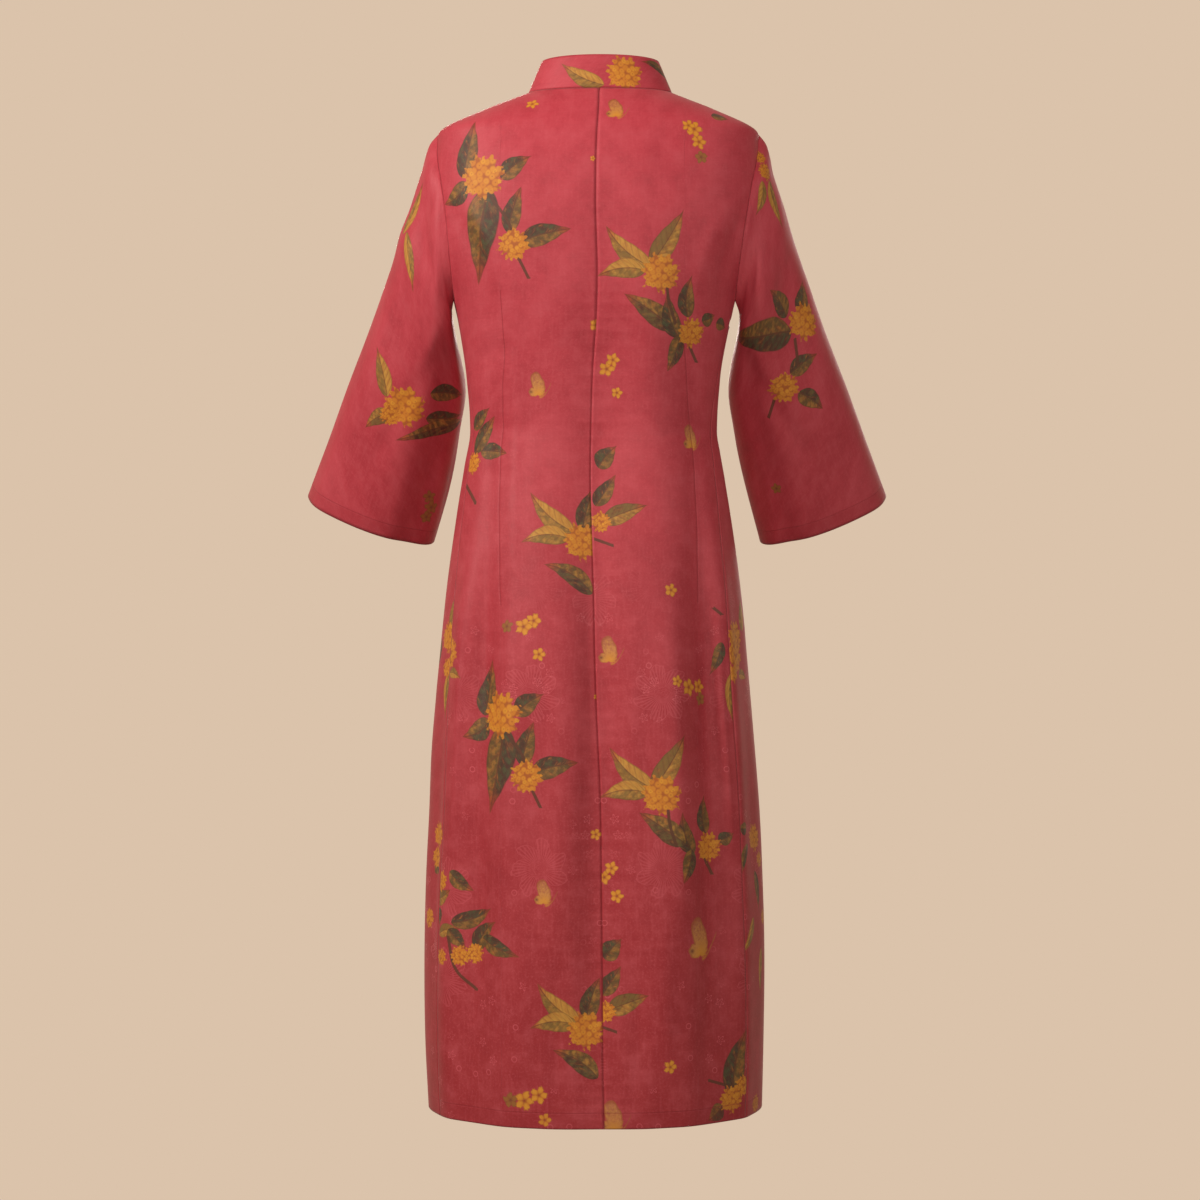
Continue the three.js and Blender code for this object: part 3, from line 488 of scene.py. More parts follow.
def collar_points():
    """Points of the standing collar, from the centre front round the back to the front again."""
    left = np.concatenate([neck_front(), neck_back()[::-1][1:]])
    turns = np.concatenate([neck_turns(), np.linspace(90, 0, NECK_BACK_STEPS + 1)[::-1][1:]])
    ring = np.concatenate([left, mirrored(left)[::-1][1:]])
    turn = np.concatenate([turns, 180 - turns[::-1][1:]])
    both = np.concatenate([ring, turn[:, None]], axis=1)
    side = NECK_FRONT_STEPS
    centre = side + NECK_BACK_STEPS
    stops = (0, side, centre, centre + NECK_BACK_STEPS, len(both) - 1)
    fine = refine_axis(both, stops, COLLAR_AROUND)
    base = form_points(fine[:, :2])
    sin = np.sin(np.radians(fine[:, 2]))
    cos = np.cos(np.radians(fine[:, 2]))
    depth = np.where(sin >= 0, COLLAR_BACK, COLLAR_FRONT)
    drop = np.where(sin >= 0, 0, (COLLAR_HEIGHT - COLLAR_FRONT_TOP) * np.abs(sin) ** COLLAR_DIP)
    x = COLLAR_HALF_WIDTH * signed_power(cos, COLLAR_SQUARE) + BODY_AT["lean"](0)
    top = np.stack([x, depth * signed_power(sin, COLLAR_SQUARE), COLLAR_HEIGHT - drop], -1)
    gaps = length(np.diff(base, axis=0))[:, 0]
    reached = np.concatenate([[0], np.cumsum(gaps)])
    reach = np.minimum(np.minimum(reached, reached[-1] - reached), COLLAR_CORNER)
    miss = (COLLAR_CORNER - reach) * CORNER_CUT
    cut = COLLAR_CORNER - np.sqrt(COLLAR_CORNER ** 2 - miss ** 2)
    top = top + (base - top) * (cut[:, None] / length(base - top))
    share = np.linspace(0, 1, COLLAR_UP + 1)[:, None, None]
    return base[None] * (1 - share) + top[None] * share


def sleeve_ring(along, angle):
    """Points of the left sleeve's plain tube."""
    get = {name: function(along) for name, function in SLEEVE_AT.items()}
    outer = np.stack([get["outer_x"], get["outer_y"], get["outer_z"]], -1)
    inner = np.stack([get["inner_x"], get["inner_y"], get["inner_z"]], -1)
    tip = np.radians(get["tip"])
    lift = fold_height(SLEEVE_FOLDS, angle, along, SLEEVE_FOLD_FADE)
    scale = 1 + lift / get["half_depth"]
    depth = np.stack([np.zeros_like(tip), np.cos(tip), -np.sin(tip)], -1)
    cos = np.cos(np.radians(angle)) * scale
    sin = np.sin(np.radians(angle)) * scale * get["half_depth"]
    return (outer + inner) / 2 + (outer - inner) / 2 * cos[..., None] + depth * sin[..., None]


def sleeve_points(side):
    """Points of a sleeve's tube, in rings from the armhole to the cuff."""
    front = armhole_front[::-1]
    ring = np.concatenate([armhole_back, front[1:]])
    if side < 0:
        ring = mirrored(ring)
    stops = (0, ARMHOLE_STEPS, 2 * ARMHOLE_STEPS)
    mouth = form_points(refine_axis(ring, stops, SLEEVE_AROUND))[:-1]
    angle = np.linspace(0, 360, len(mouth) + 1)[:-1][None]
    along = (np.linspace(0, 1, SLEEVE_DOWN + 1) ** SLEEVE_CROWDING)[:, None]
    angle, along = np.broadcast_arrays(angle, along)
    flip = np.array([side, 1, 1])
    plain = sleeve_ring(along, angle) * flip
    keep = (1 - np.clip(along / MOUTH_FADE, 0, 1)) ** 2
    return plain + (mouth - plain[0]) * keep[..., None]


def normals_of(points, closed=False):
    """Outward normals of a grid of points."""
    if closed:
        ahead = np.roll(points, -1, axis=1)
        across = ahead - np.roll(points, 1, axis=1)
    else:
        across = np.gradient(points, axis=1)
    normals = unit(np.cross(np.gradient(points, axis=0), across))
    middle = points.mean(axis=1, keepdims=True) if closed else points * np.array([0, 0, 1])
    outward = ((points - middle) * normals).sum()
    return normals if outward > 0 else -normals


def photo_places(points):
    """Where points would lie in the photograph, and in one taken from straight in front."""
    right = points[..., 0] - CAMERA_X
    down = CAMERA_Z - points[..., 2]

    def seen(side):
        pixel = PIXEL * (CAMERA_DISTANCE - side * points[..., 1]) / CAMERA_DISTANCE
        return PHOTO_SIZE / 2 + np.stack([-side * right, down], -1) / pixel[..., None]

    return seen(1), seen(-1)


def distance_along(points, axis):
    """Distance of each point of a grid from the grid's first line, and from its last."""
    gaps = length(np.diff(points, axis=axis))[..., 0]
    shape = list(gaps.shape)
    shape[axis] = 1
    reached = np.concatenate([np.zeros(shape), np.cumsum(gaps, axis=axis)], axis=axis)
    return reached, np.take(reached, [-1], axis=axis) - reached


def build_shell(name, points, normals, thickness, closed=False):
    """A closed shell from a grid of outer points in millimetres; outer vertices come first."""
    rows, columns = points.shape[:2]
    inner = points - normals * np.broadcast_to(thickness, points.shape[:2])[..., None]
    vertices = np.concatenate([points.reshape(-1, 3), inner.reshape(-1, 3)]) * MM
    count = rows * columns
    index = np.arange(count).reshape(rows, columns)
    if closed:
        index = np.concatenate([index, index[:, :1]], axis=1)
    a, b, c, d = index[:-1, :-1], index[1:, :-1], index[1:, 1:], index[:-1, 1:]
    outer = np.stack([a, b, c, d], -1).reshape(-1, 4)
    faces = [outer, outer[:, ::-1] + count]
    rims = [index[0], index[-1][::-1]]
    if not closed:
        rims += [index[::-1, 0], index[:, -1]]
    for rim in rims:
        faces.append(np.stack([rim[:-1], rim[1:], rim[1:] + count, rim[:-1] + count], -1))
    faces = np.concatenate(faces)
    first = faces[0]
    corner = vertices[first]
    facing = np.cross(corner[1] - corner[0], corner[2] - corner[0])
    if facing @ normals.reshape(-1, 3)[first[0]] < 0:
        faces = faces[:, ::-1]
    mesh = bpy.data.meshes.new(name)
    mesh.from_pydata(vertices.tolist(), [], faces.tolist())
    mesh.polygons.foreach_set("use_smooth", np.ones(len(faces), bool))
    mesh.update()
    piece = bpy.data.objects.new(name, mesh)
    bpy.context.scene.collection.objects.link(piece)
    return piece


def paint(piece, name, values):
    """Stores up to four numbers for each outer point, repeated on the inner face."""
    flat = values.reshape(-1, values.shape[-1])
    full = np.zeros((len(flat), 4))
    full[:, :flat.shape[1]] = flat
    both = np.concatenate([full, full])
    layer = piece.data.attributes.new(name, "FLOAT_COLOR", "POINT")
    layer.data.foreach_set("color", both.astype(np.float32).ravel())


# The darts as they run in the photograph: pixel row, and pixel column there
DARTS = {
    "back_left": [(293, 501), (321, 502.5), (359, 504.4), (385, 502.5), (428, 502.9),
                  (452, 501), (507, 499), (587, 499.7), (604, 501)],
    "back_right": [(347, 685), (409, 688), (455, 693), (524, 697), (602, 698)],
}

# Soft creases, as polylines in the photograph: points, half width in pixels, and
# height in millimetres, below zero for a trough
BACK_CREASES = [
    ([(470, 372), (490, 352), (520, 344)], 9, -1.0),
    ([(466, 440), (500, 428), (540, 436)], 9, -0.5),
    ([(463, 470), (495, 462), (530, 468)], 8, 0.4),
    ([(719, 372), (700, 352), (668, 346)], 9, -0.9),
    ([(722, 446), (695, 432), (650, 440)], 9, -0.5),
    ([(727, 480), (700, 470), (660, 474)], 8, 0.4),
    ([(452, 205), (476, 260), (488, 330)], 9, -1.8),
    ([(464, 196), (494, 250), (508, 320)], 10, 1.3),
    ([(749, 205), (727, 262), (716, 330)], 9, -1.8),
    ([(738, 196), (708, 250), (694, 315)], 10, 1.3),
    ([(540, 120), (552, 200), (560, 290)], 13, -1.0),
    ([(668, 120), (655, 200), (650, 290)], 13, -1.0),
    ([(485, 555), (482, 640), (485, 730)], 8, -2.2),
    ([(508, 606), (512, 720), (506, 860)], 12, 1.8),
    ([(540, 600), (545, 730), (540, 900)], 11, -1.4),
    ([(572, 560), (575, 700), (570, 880)], 13, 1.3),
    ([(640, 560), (646, 720), (640, 900)], 12, -1.3),
    ([(672, 590), (678, 740), (684, 900)], 12, 1.6),
    ([(712, 600), (708, 700), (716, 830)], 9, -2.0),
    ([(478, 820), (480, 900), (474, 1010)], 9, -2.4),
    ([(520, 900), (524, 1000), (518, 1120)], 13, 1.6),
    ([(560, 930), (556, 1030), (560, 1125)], 11, -1.5),
    ([(632, 930), (638, 1030), (634, 1125)], 12, -1.4),
    ([(668, 900), (664, 1000), (672, 1115)], 13, 1.7),
    ([(706, 860), (712, 960), (704, 1090)], 10, -1.8),
    ([(462, 610), (458, 740), (452, 860)], 5, 1.6),
    ([(716, 610), (724, 730), (734, 850)], 5, 1.6),
    ([(744, 640), (752, 760), (756, 900)], 7, -1.8),
    ([(440, 700), (436, 820), (434, 950)], 6, -1.6),
]
# Broad waves of the back, which run on across its centre seam
BACK_WAVES = [
    ([(605, 175), (604, 300), (600, 480), (602, 640), (608, 800), (605, 980), (602, 1125)],
     32, -6.2),
    ([(530, 420), (536, 600), (545, 720), (556, 840), (548, 1040)], 24, 2.8),
    ([(660, 420), (664, 600), (662, 720), (668, 840), (668, 1040)], 24, 2.8),
    ([(650, 130), (652, 260), (655, 400), (656, 500)], 20, 1.3),
    ([(700, 560), (706, 700), (706, 850), (704, 1010)], 15, -2.2),
    ([(513, 250), (515, 400), (512, 520), (513, 640)], 8, 1.5),
    ([(489, 250), (491, 400), (489, 560), (486, 700)], 9, -1.6),
    ([(688, 290), (692, 420), (697, 540), (700, 660)], 10, -1.7),
]
FRONT_CREASES = [
    ([(560, 150), (548, 240), (520, 330)], 10, 1.5),
    ([(640, 150), (652, 240), (684, 330)], 10, -1.4),
    ([(600, 200), (604, 300), (598, 420)], 14, -1.2),
    ([(486, 250), (540, 290), (600, 300)], 11, 1.4),
    ([(716, 250), (660, 290), (610, 306)], 11, -1.3),
    ([(470, 380), (530, 372), (590, 384)], 9, -1.4),
    ([(722, 384), (660, 374), (612, 388)], 9, 1.3),
    ([(470, 450), (530, 440), (600, 452)], 9, 1.2),
    ([(480, 560), (486, 700), (478, 880)], 10, -2.2),
    ([(520, 520), (528, 680), (520, 900)], 13, 1.7),
    ([(566, 560), (560, 720), (568, 930)], 12, -1.6),
    ([(606, 540), (612, 730), (604, 960)], 13, 1.5),
    ([(650, 560), (646, 740), (654, 930)], 12, -1.6),
    ([(692, 540), (700, 700), (694, 900)], 12, 1.8),
    ([(728, 600), (736, 760), (730, 960)], 9, -2.0),
    ([(500, 900), (494, 1000), (502, 1115)], 12, 1.6),
    ([(590, 940), (584, 1030), (590, 1125)], 12, -1.5),
    ([(676, 930), (684, 1020), (678, 1115)], 12, 1.7),
]
SLEEVE_BACK_CREASES = [
    ([(436, 176), (420, 225), (438, 300)], 9, -2.8),
    ([(424, 170), (404, 230), (418, 310)], 9, 1.8),
    ([(452, 300), (430, 350), (402, 430)], 9, 1.6),
    ([(444, 340), (408, 400), (370, 470)], 10, -2.0),
    ([(398, 280), (378, 350), (350, 430)], 10, 1.5),
    ([(452, 430), (430, 480), (420, 536)], 8, -1.8),
    ([(380, 330), (356, 400), (334, 470)], 8, -1.2),
    ([(764, 178), (756, 240), (742, 300)], 9, -2.6),
    ([(778, 190), (776, 260), (762, 330)], 10, 1.8),
    ([(742, 320), (764, 370), (800, 440)], 9, 1.5),
    ([(750, 350), (780, 410), (824, 480)], 10, -2.0),
    ([(796, 270), (816, 350), (842, 430)], 10, 1.5),
    ([(742, 440), (758, 490), (764, 536)], 8, -1.8),
    ([(812, 330), (836, 400), (858, 470)], 8, -1.2),
]
SLEEVE_FRONT_CREASES = [
    ([(764, 178), (780, 240), (764, 310)], 10, -2.4),
    ([(790, 250), (812, 340), (836, 440)], 10, 1.6),
    ([(740, 320), (776, 390), (820, 480)], 10, -1.9),
    ([(748, 420), (772, 480), (790, 530)], 9, 1.5),
    ([(436, 178), (420, 240), (438, 310)], 10, -2.4),
    ([(404, 250), (384, 340), (358, 440)], 10, 1.6),
    ([(458, 320), (420, 390), (374, 480)], 10, -1.9),
    ([(450, 420), (424, 480), (404, 530)], 9, 1.5),
]


CREASE_GAIN = 1.7    # how much deeper creases and waves are made than their tables say
CREASE_REACH = 3     # how many half widths away a crease still lifts the cloth
CREASE_POINTS = 2.5  # points on a crease's line in each half width of its length
FEWEST_POINTS = 24   # points on a short crease's line
CREASE_TIP = 0.04    # share of the rise and fall that is left off at each end of a crease
CREASE_SWELL = 0.8   # power of that rise and fall; below 1 it is fuller than a sine
SEAM_FADE = 14       # how far from a panel's seams creases reach their full height
SLEEVE_FADE = 16     # the same below a sleeve's armhole seam
UNEVENNESS = 0.5     # height of the slow unevenness of hanging cloth
UNEVEN_SIZE = 17     # its scale, at which its rises lie about 100 mm apart
UNEVEN_WAVES = 9
UNEVEN_SEED = 3
NO_EDGE = 500.0      # stands for the distance of an edge that a piece doesn't have


def crease_height(places, creases):
    """How far a list of creases lifts the cloth at places in the photograph."""
    total = np.zeros(places.shape[:-1])
    for points, width, height in creases:
        span = length(np.diff(np.array(points, float), axis=0)).sum()
        line = curve_points(points, max(FEWEST_POINTS, int(span / width * CREASE_POINTS)))
        reach = CREASE_REACH * width
        low, high = line.min(axis=0) - reach, line.max(axis=0) + reach
        near = ((places > low) & (places < high)).all(axis=-1)
        if not near.any():
            continue
        gaps = length(places[near][:, None] - line[None])[..., 0]
        closest = gaps.argmin(axis=1)
        share = closest / (len(line) - 1) * (1 - 2 * CREASE_TIP) + CREASE_TIP
        fade = np.sin(np.pi * share) ** CREASE_SWELL
        total[near] += CREASE_GAIN * height * bell(gaps.min(axis=1), width) * fade
    return total


def crease_lift(normals, behind, ahead, back_creases, front_creases):
    """How far the creases on its own side lift each point of a grid."""
    facing = smooth(normals[..., 1] * 4 + 0.5)
    behind_lift = crease_height(behind, back_creases)
    ahead_lift = crease_height(ahead, front_creases)
    return behind_lift * facing + ahead_lift * (1 - facing)


def uneven(points):
    """A slow, uneven wave between -1 and 1 over points in space."""
    draw = np.random.default_rng(UNEVEN_SEED)
    total = np.zeros(points.shape[:-1])
    for _ in range(UNEVEN_WAVES):
        direction = unit(draw.normal(size=3))
        total += np.sin(points @ direction / UNEVEN_SIZE * draw.uniform(0.7, 1.5)
                        + draw.uniform(0, 2 * np.pi))
    return total / UNEVEN_WAVES


pieces = {}


def add_cloth(node, points, creases, edge_fade, thickness, edges, closed=False):
    """Builds one piece of silk; creases and unevenness die away at its sewn edges.

    The broad waves of the back don't: they move both halves straight backwards, so that the
    halves still meet.
    """
    behind, ahead = photo_places(points)
    if node.startswith("back"):
        points = points + np.array([0, 1, 0]) * crease_height(behind, BACK_WAVES)[..., None]
    normals = normals_of(points, closed)
    lift = crease_lift(normals, behind, ahead, *creases)
    lift = (lift + UNEVENNESS * uneven(points)) * edge_fade
    points = points + normals * lift[..., None]
    normals = normals_of(points, closed)
    piece = build_shell("silk_" + node, points, normals, thickness, closed)
    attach(piece, "root")
    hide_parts(node)
    pieces[node] = {"piece": piece, "points": points, "normals": normals,
                    "behind": behind, "ahead": ahead, "edges": edges}


def turned_up(above, depth):
    """The cloth's thickness at distances above an edge that is turned up to a depth."""
    return SILK + TURN_UP * smooth((depth - above) / TURN_UP_RAMP)


def edge_distances(points, closed=False):
    """Distances from a grid's top, foot and two sides."""
    top, foot = distance_along(points, 0)
    if closed:
        nowhere = np.full(top.shape, NO_EDGE)
        return top, foot, nowhere, nowhere
    return top, foot, *distance_along(points, 1)


def make_panel(node, places):
    points = form_points(places)
    edges = edge_distances(points)
    top, _, start, end = edges
    fade = smooth(np.minimum(start, end) / SEAM_FADE) * smooth(top / SEAM_FADE)
    thickness = turned_up(points[..., 2] - HEM_Z, HEM_DEPTH)
    add_cloth(node, points, (BACK_CREASES, FRONT_CREASES), fade, thickness, edges)


def make_smooth(node, points, edges, thickness):
    """A piece without creases, such as the stiffened collar."""
    flat = np.zeros(points.shape[:2])
    add_cloth(node, points, ([], []), flat, flat + thickness, edges)


def make_under_panel():
    places, tuck = under_places()
    points = form_points(places)
    tucked = points - normals_of(points) * tuck[..., None]
    make_smooth("front_under", tucked, edge_distances(points), SILK)


def make_sleeve(node, side):
    points = sleeve_points(side)
    edges = edge_distances(points, closed=True)
    top, foot, _, _ = edges
    creases = (SLEEVE_BACK_CREASES, SLEEVE_FRONT_CREASES)
    fade = smooth(top / SLEEVE_FADE)
    add_cloth(node, points, creases, fade, turned_up(foot, CUFF_DEPTH), edges, closed=True)


def make_collar():
    points = collar_points()
    make_smooth("collar", points, edge_distances(points), COLLAR_CLOTH)


for node, side in (("back_left", 1), ("back_right", -1)):
    make_panel(node, back_places(side))
make_panel("front", front_places())
make_under_panel()
for node, side in (("sleeve_left", 1), ("sleeve_right", -1)):
    make_sleeve(node, side)
make_collar()


# The print, in pixels of the photograph. A leaf has its middle (right and down), direction
# (0 to the right, 90 up), length, half width and tone (0 dark green, 1 yellow); a cluster of
# florets its middle and radius; a stem its points.
SPRIGS = {
    "branch": {
        "leaves": [(-16, -29, 88, 55, 11, 0.2), (32, -11, 35, 34, 9.5, 0.0),
                   (-28, 20, 215, 33, 10, 0.35), (-7, 59, 256, 88, 16.5, 0.12),
                   (31, 31, 72, 44, 9, 0.3), (61, 58, 11, 48, 10, 0.3)],
        "clusters": [(0, 0, 20), (30, 68, 14)],
        "stems": [[(8, 22), (22, 41), (28, 54)], [(35, 82), (44, 100)]],
    },
    "spray": {
        "leaves": [(-34, -25, 139, 56, 9, 1.0), (-40, -4, 184, 44, 9, 0.9),
                   (7, -36, 61, 58, 10, 0.65)],
        "clusters": [(0, 0, 17)],
        "stems": [[(6, 15), (8, 30), (14, 50)]],
    },
    "twig": {
        "leaves": [(-43, -21, 149, 58, 10, 0.5), (-21, -16, 112, 44, 9, 0.2),
                   (-4, -36, 92, 38, 8.5, 0.05), (17, -13, 25, 18, 6.5, 0.0),
                   (-18, 22, 250, 36, 8, 0.4)],
        "clusters": [(0, 0, 13)],
        "stems": [[(-3, 11), (4, 29)]],
    },
    "corner": {
        "leaves": [(-33, -28, 139, 55, 9, 1.0), (-37, -7, 182, 44, 9, 0.9),
                   (7, -35, 70, 44, 9, 0.4), (24, -53, 62, 34, 8, 0.2),
                   (46, -28, 17, 44, 9, 0.6), (26, -87, 50, 26, 9, 0.0),
                   (-11, 33, 147, 53, 9, 0.45)],
        "clusters": [(0, 0, 16), (20, -20, 9)],
        "stems": [[(14, -3), (31, 3)]],
    },
    "side": {
        "leaves": [(8, -46, 35, 30, 7, 0.1), (13, -29, 52, 42, 8.5, 0.3),
                   (22, -12, 352, 33, 8, 0.3)],
        "clusters": [(0, 0, 10)],
        "stems": [[(-10, 15), (2, 38)]],
    },
    "bough": {
        "leaves": [(12, -36, 325, 30, 7, 0.4), (-6, -24, 20, 27, 7, 0.6),
                   (25, -4, 20, 46, 8, 0.15), (0, 9, 15, 27, 6, 0.7),
                   (9, 19, 315, 25, 7, 0.1), (36, 12, 50, 38, 9, 0.2),
                   (50, 26, 345, 46, 8, 0.2), (-10, -5, 290, 18, 6, 0.0),
                   (-12, -52, 320, 14, 6, 0.1)],
        "clusters": [(-10, -84, 11), (-12, -64, 9), (-7, -40, 9), (-19, -1, 9), (11, 36, 9),
                     (25, 34, 9), (-6, 36, 7)],
        "stems": [[(0, 17), (7, 48), (27, 69)]],
    },
    "column": {
        "leaves": [(6, -36, 85, 32, 7, 1.0), (9, 28, 350, 22, 5, 1.0),
                   (-4, 50, 268, 46, 5, 0.9), (-19, 10, 250, 32, 5.5, 0.0)],
        "clusters": [(0, -10, 14), (0, 9, 14), (-2, 24, 9)],
        "stems": [[(-21, -40), (-14, -34)]],
    },
    "edge": {
        "leaves": [(-13, -10, 170, 14, 6, 0.0), (-11, 21, 245, 31, 5, 0.1),
                   (3, 55, 275, 38, 5, 0.0), (-5, 100, 232, 39, 5, 0.8),
                   (6, 136, 268, 45, 4.5, 1.0)],
        "clusters": [(0, 0, 12), (4, 20, 7), (7, 78, 7)],
        "stems": [],
    },
    "foot": {
        "leaves": [(7, -37, 78, 66, 12, 0.2), (-16, 16, 215, 20, 8, 0.0)],
        "clusters": [(0, 0, 12), (12, -13, 9), (24, 5, 8)],
        "stems": [[(-20, -17), (-2, -12)]],
    },
    "leaf": {
        "leaves": [(0, 0, 350, 18, 6, 0.0)],
        "clusters": [],
        "stems": [],
    },
    "arm": {
        "leaves": [(-46, 17, 187, 68, 17, 0.1), (-28, -20, 143, 38, 10, 0.3),
                   (-3, -27, 80, 30, 9, 0.0), (0, 41, 35, 34, 9, 0.15),
                   (5, 78, 330, 32, 9, 0.4)],
        "clusters": [(0, 0, 17), (-22, 65, 14)],
        "stems": [[(-10, 18), (-7, 42)], [(-31, 79), (-36, 94)]],
    },
    "tassel": {
        "leaves": [(0, 30, 255, 34, 5, 0.8), (12, 38, 283, 46, 6, 0.9)],
        "clusters": [(4, 4, 8), (-2, -10, 6)],
        "stems": [],
    },
    "fork": {
        "leaves": [(-6, -28, 62, 54, 6.5, 1.0), (-10, 26, 275, 58, 5.5, 0.9)],
        "clusters": [],
        "stems": [],
    },
    "cuff": {
        "leaves": [(43, -13, 355, 36, 9, 0.0), (41, 9, 8, 40, 8, 0.05),
                   (25, 24, 201, 72, 8, 0.45), (-24, -37, 100, 48, 8, 0.8),
                   (-28, 12, 200, 34, 8, 0.6)],
        "clusters": [(0, 0, 19), (-14, 8, 10)],
        "stems": [],
    },
    "collar": {
        "leaves": [(-44, 2, 152, 46, 8, 0.85), (30, -7, 160, 34, 5, 0.1),
                   (44, 11, 250, 20, 6, 0.4)],
        "clusters": [(0, 0, 16)],
        "stems": [],
    },
}

# Which sprig lies where from behind: its middle and, where it differs from 1, its width and
# height against its own size
SPRIGS_BEHIND = [
    ("branch", 484, 177),
    ("branch", 502, 714, 0.86, 0.93),
    ("spray", 661, 272),
    ("spray", 662, 796),
    ("twig", 692, 332),
    ("twig", 708, 848, 1.1, 0.9),
    ("corner", 581, 542),
    ("corner", 587, 1030, 0.95, 0.92),
    ("side", 473, 464),
    ("bough", 448, 920),
    ("column", 735, 648),
    ("column", 449, 645, 0.7),
    ("edge", 755, 838),
    ("foot", 731, 1098),
    ("fork", 420, 236),
    ("cuff", 405, 408),
    ("tassel", 762, 168),
    ("arm", 805, 322),
    ("leaf", 722, 326),
    ("leaf", 720, 118, 1.1),
    ("collar", 625, 73),
]
# The same sprigs from the front, which the photograph doesn't show
SPRIGS_AHEAD = [
    ("spray", 548, 190),
    ("twig", 640, 262),
    ("branch", 692, 168, 0.9),
    ("side", 500, 330),
    ("corner", 604, 420),
    ("branch", 508, 520, 0.9),
    ("spray", 690, 560),
    ("twig", 590, 690),
    ("branch", 690, 760, 0.9),
    ("bough", 480, 850),
    ("corner", 600, 930),
    ("spray", 700, 960),
    ("twig", 520, 1050),
    ("foot", 660, 1080),
    ("cuff", 400, 330, 0.9),
    ("side", 400, 440),
    ("branch", 790, 270, 0.8),
    ("twig", 820, 440, 0.9),
]
# Single blossoms: place, radius and tone (0 yellow, 1 dark)
BLOSSOMS_BEHIND = [
    (533, 104, 7, 0), (693, 130, 9, 0), (699, 141, 8, 0), (701, 156, 7, 1), (688, 124, 7, 0),
    (594, 159, 3, 0), (596, 325, 7, 0), (606, 368, 8, 0), (612, 360, 7, 0), (617, 393, 6, 0),
    (508, 626, 7, 1), (523, 628, 9, 0), (533, 621, 8, 0), (539, 654, 7, 0), (670, 589, 7, 0),
    (677, 680, 6, 0), (688, 688, 9, 0), (700, 688, 8, 0), (702, 700, 7, 1), (596, 697, 3, 0),
    (596, 836, 6, 0), (605, 877, 7, 0), (611, 868, 7, 0), (616, 898, 7, 0),
    (511, 1100, 8, 1), (525, 1101, 10, 0), (539, 1096, 9, 0), (545, 1120, 7, 0),
    (670, 1068, 7, 0), (430, 496, 7, 1), (432, 508, 8, 1), (427, 519, 7, 1), (777, 487, 6, 1),
]
BLOSSOMS_AHEAD = [
    (600, 150, 8, 0), (612, 158, 7, 1), (520, 250, 7, 0), (690, 330, 8, 0), (700, 340, 7, 1),
    (560, 480, 7, 0), (640, 640, 8, 0), (650, 650, 7, 0), (500, 660, 7, 0), (720, 660, 7, 1),
    (560, 800, 7, 0), (640, 860, 7, 0), (540, 960, 8, 0), (552, 968, 7, 1), (640, 1010, 7, 0),
    (410, 380, 7, 1), (800, 350, 7, 0), (850, 470, 7, 0),
]
# Butterflies: place and size
BUTTERFLIES_BEHIND = [(616, 109, 11), (538, 385, 11), (691, 437, 11), (609, 650, 12),
                      (543, 893, 11), (701, 940, 18), (613, 1119, 14)]
BUTTERFLIES_AHEAD = [(588, 250, 11), (660, 480, 12), (548, 620, 11), (620, 800, 14),
                     (700, 880, 11), (580, 1100, 12)]
LEAF_LAYERS = ("leaf_a", "leaf_b", "leaf_c")
CLUSTER_LAYERS = ("cluster_a", "cluster_b")
BLOSSOM_LAYERS = ("blossom_a", "blossom_b", "blossom_c")
PRINT_LAYERS = (*LEAF_LAYERS, *CLUSTER_LAYERS, *BLOSSOM_LAYERS, "butterfly", "stem")
# How much larger motifs are drawn than their tables say, since their outlines are soft
LEAF_LONG = 1.1
LEAF_WIDE = 1.2
ROUND_WIDE = {"cluster_a": 1.22, "butterfly": 1.3}
LEAF_BEND = 0.06     # how far a leaf's middle line bows, against its length
MARGIN = 5.5         # how far past a motif's outline its own coordinates run, in millimetres
ROUND_REACH = 1.25   # how far a round motif's outline may reach, against its radius
FACING = 0.1         # how squarely cloth faces a view at least where it is painted from it
ANCHOR_FACING = 0.12  # the same where a motif is placed
ANCHOR_REACH = 7     # how many pixels from a motif's place the cloth may lie
ANCHOR_WEIGHT = 12   # how many millimetres of depth each of those pixels outweighs
STEM_POINTS = 16     # points on a stem's line
STEM_REACH = 45      # how far a stem reaches from its middle at most, in pixels
STEM_SIDE = 7        # how far its coordinates run to each side, in pixels
STEM_END = 2.5       # and how far past its ends
DART_END = 3         # how many pixels past its ends a dart's line still shows
FAR = 60.0           # stands for any greater distance from a seam, hem, dart or lap
SLEEVE_GROUND = 0.999  # scale of the silk's ground across the sleeves


def seen_from(made, behind):
    """Where a piece's points lie in the view from behind or in front, and how they face it."""
    if behind:
        return made["behind"], made["normals"][..., 1]
    return made["ahead"], -made["normals"][..., 1]


def find_anchor(place, behind):
    """The piece and the outer point that a place in the photograph falls on."""
    best = (-np.inf, None, None)
    for made in pieces.values():
        seen, facing = seen_from(made, behind)
        gap = np.where(facing > ANCHOR_FACING, length(seen - np.array(place))[..., 0], np.inf)
        spot = np.unravel_index(gap.argmin(), gap.shape)
        if gap[spot] > ANCHOR_REACH:
            continue
        depth = made["points"][spot][1] * (1 if behind else -1)
        score = depth - ANCHOR_WEIGHT * gap[spot]
        if score > best[0]:
            best = (score, made, spot)
    return best[1:]


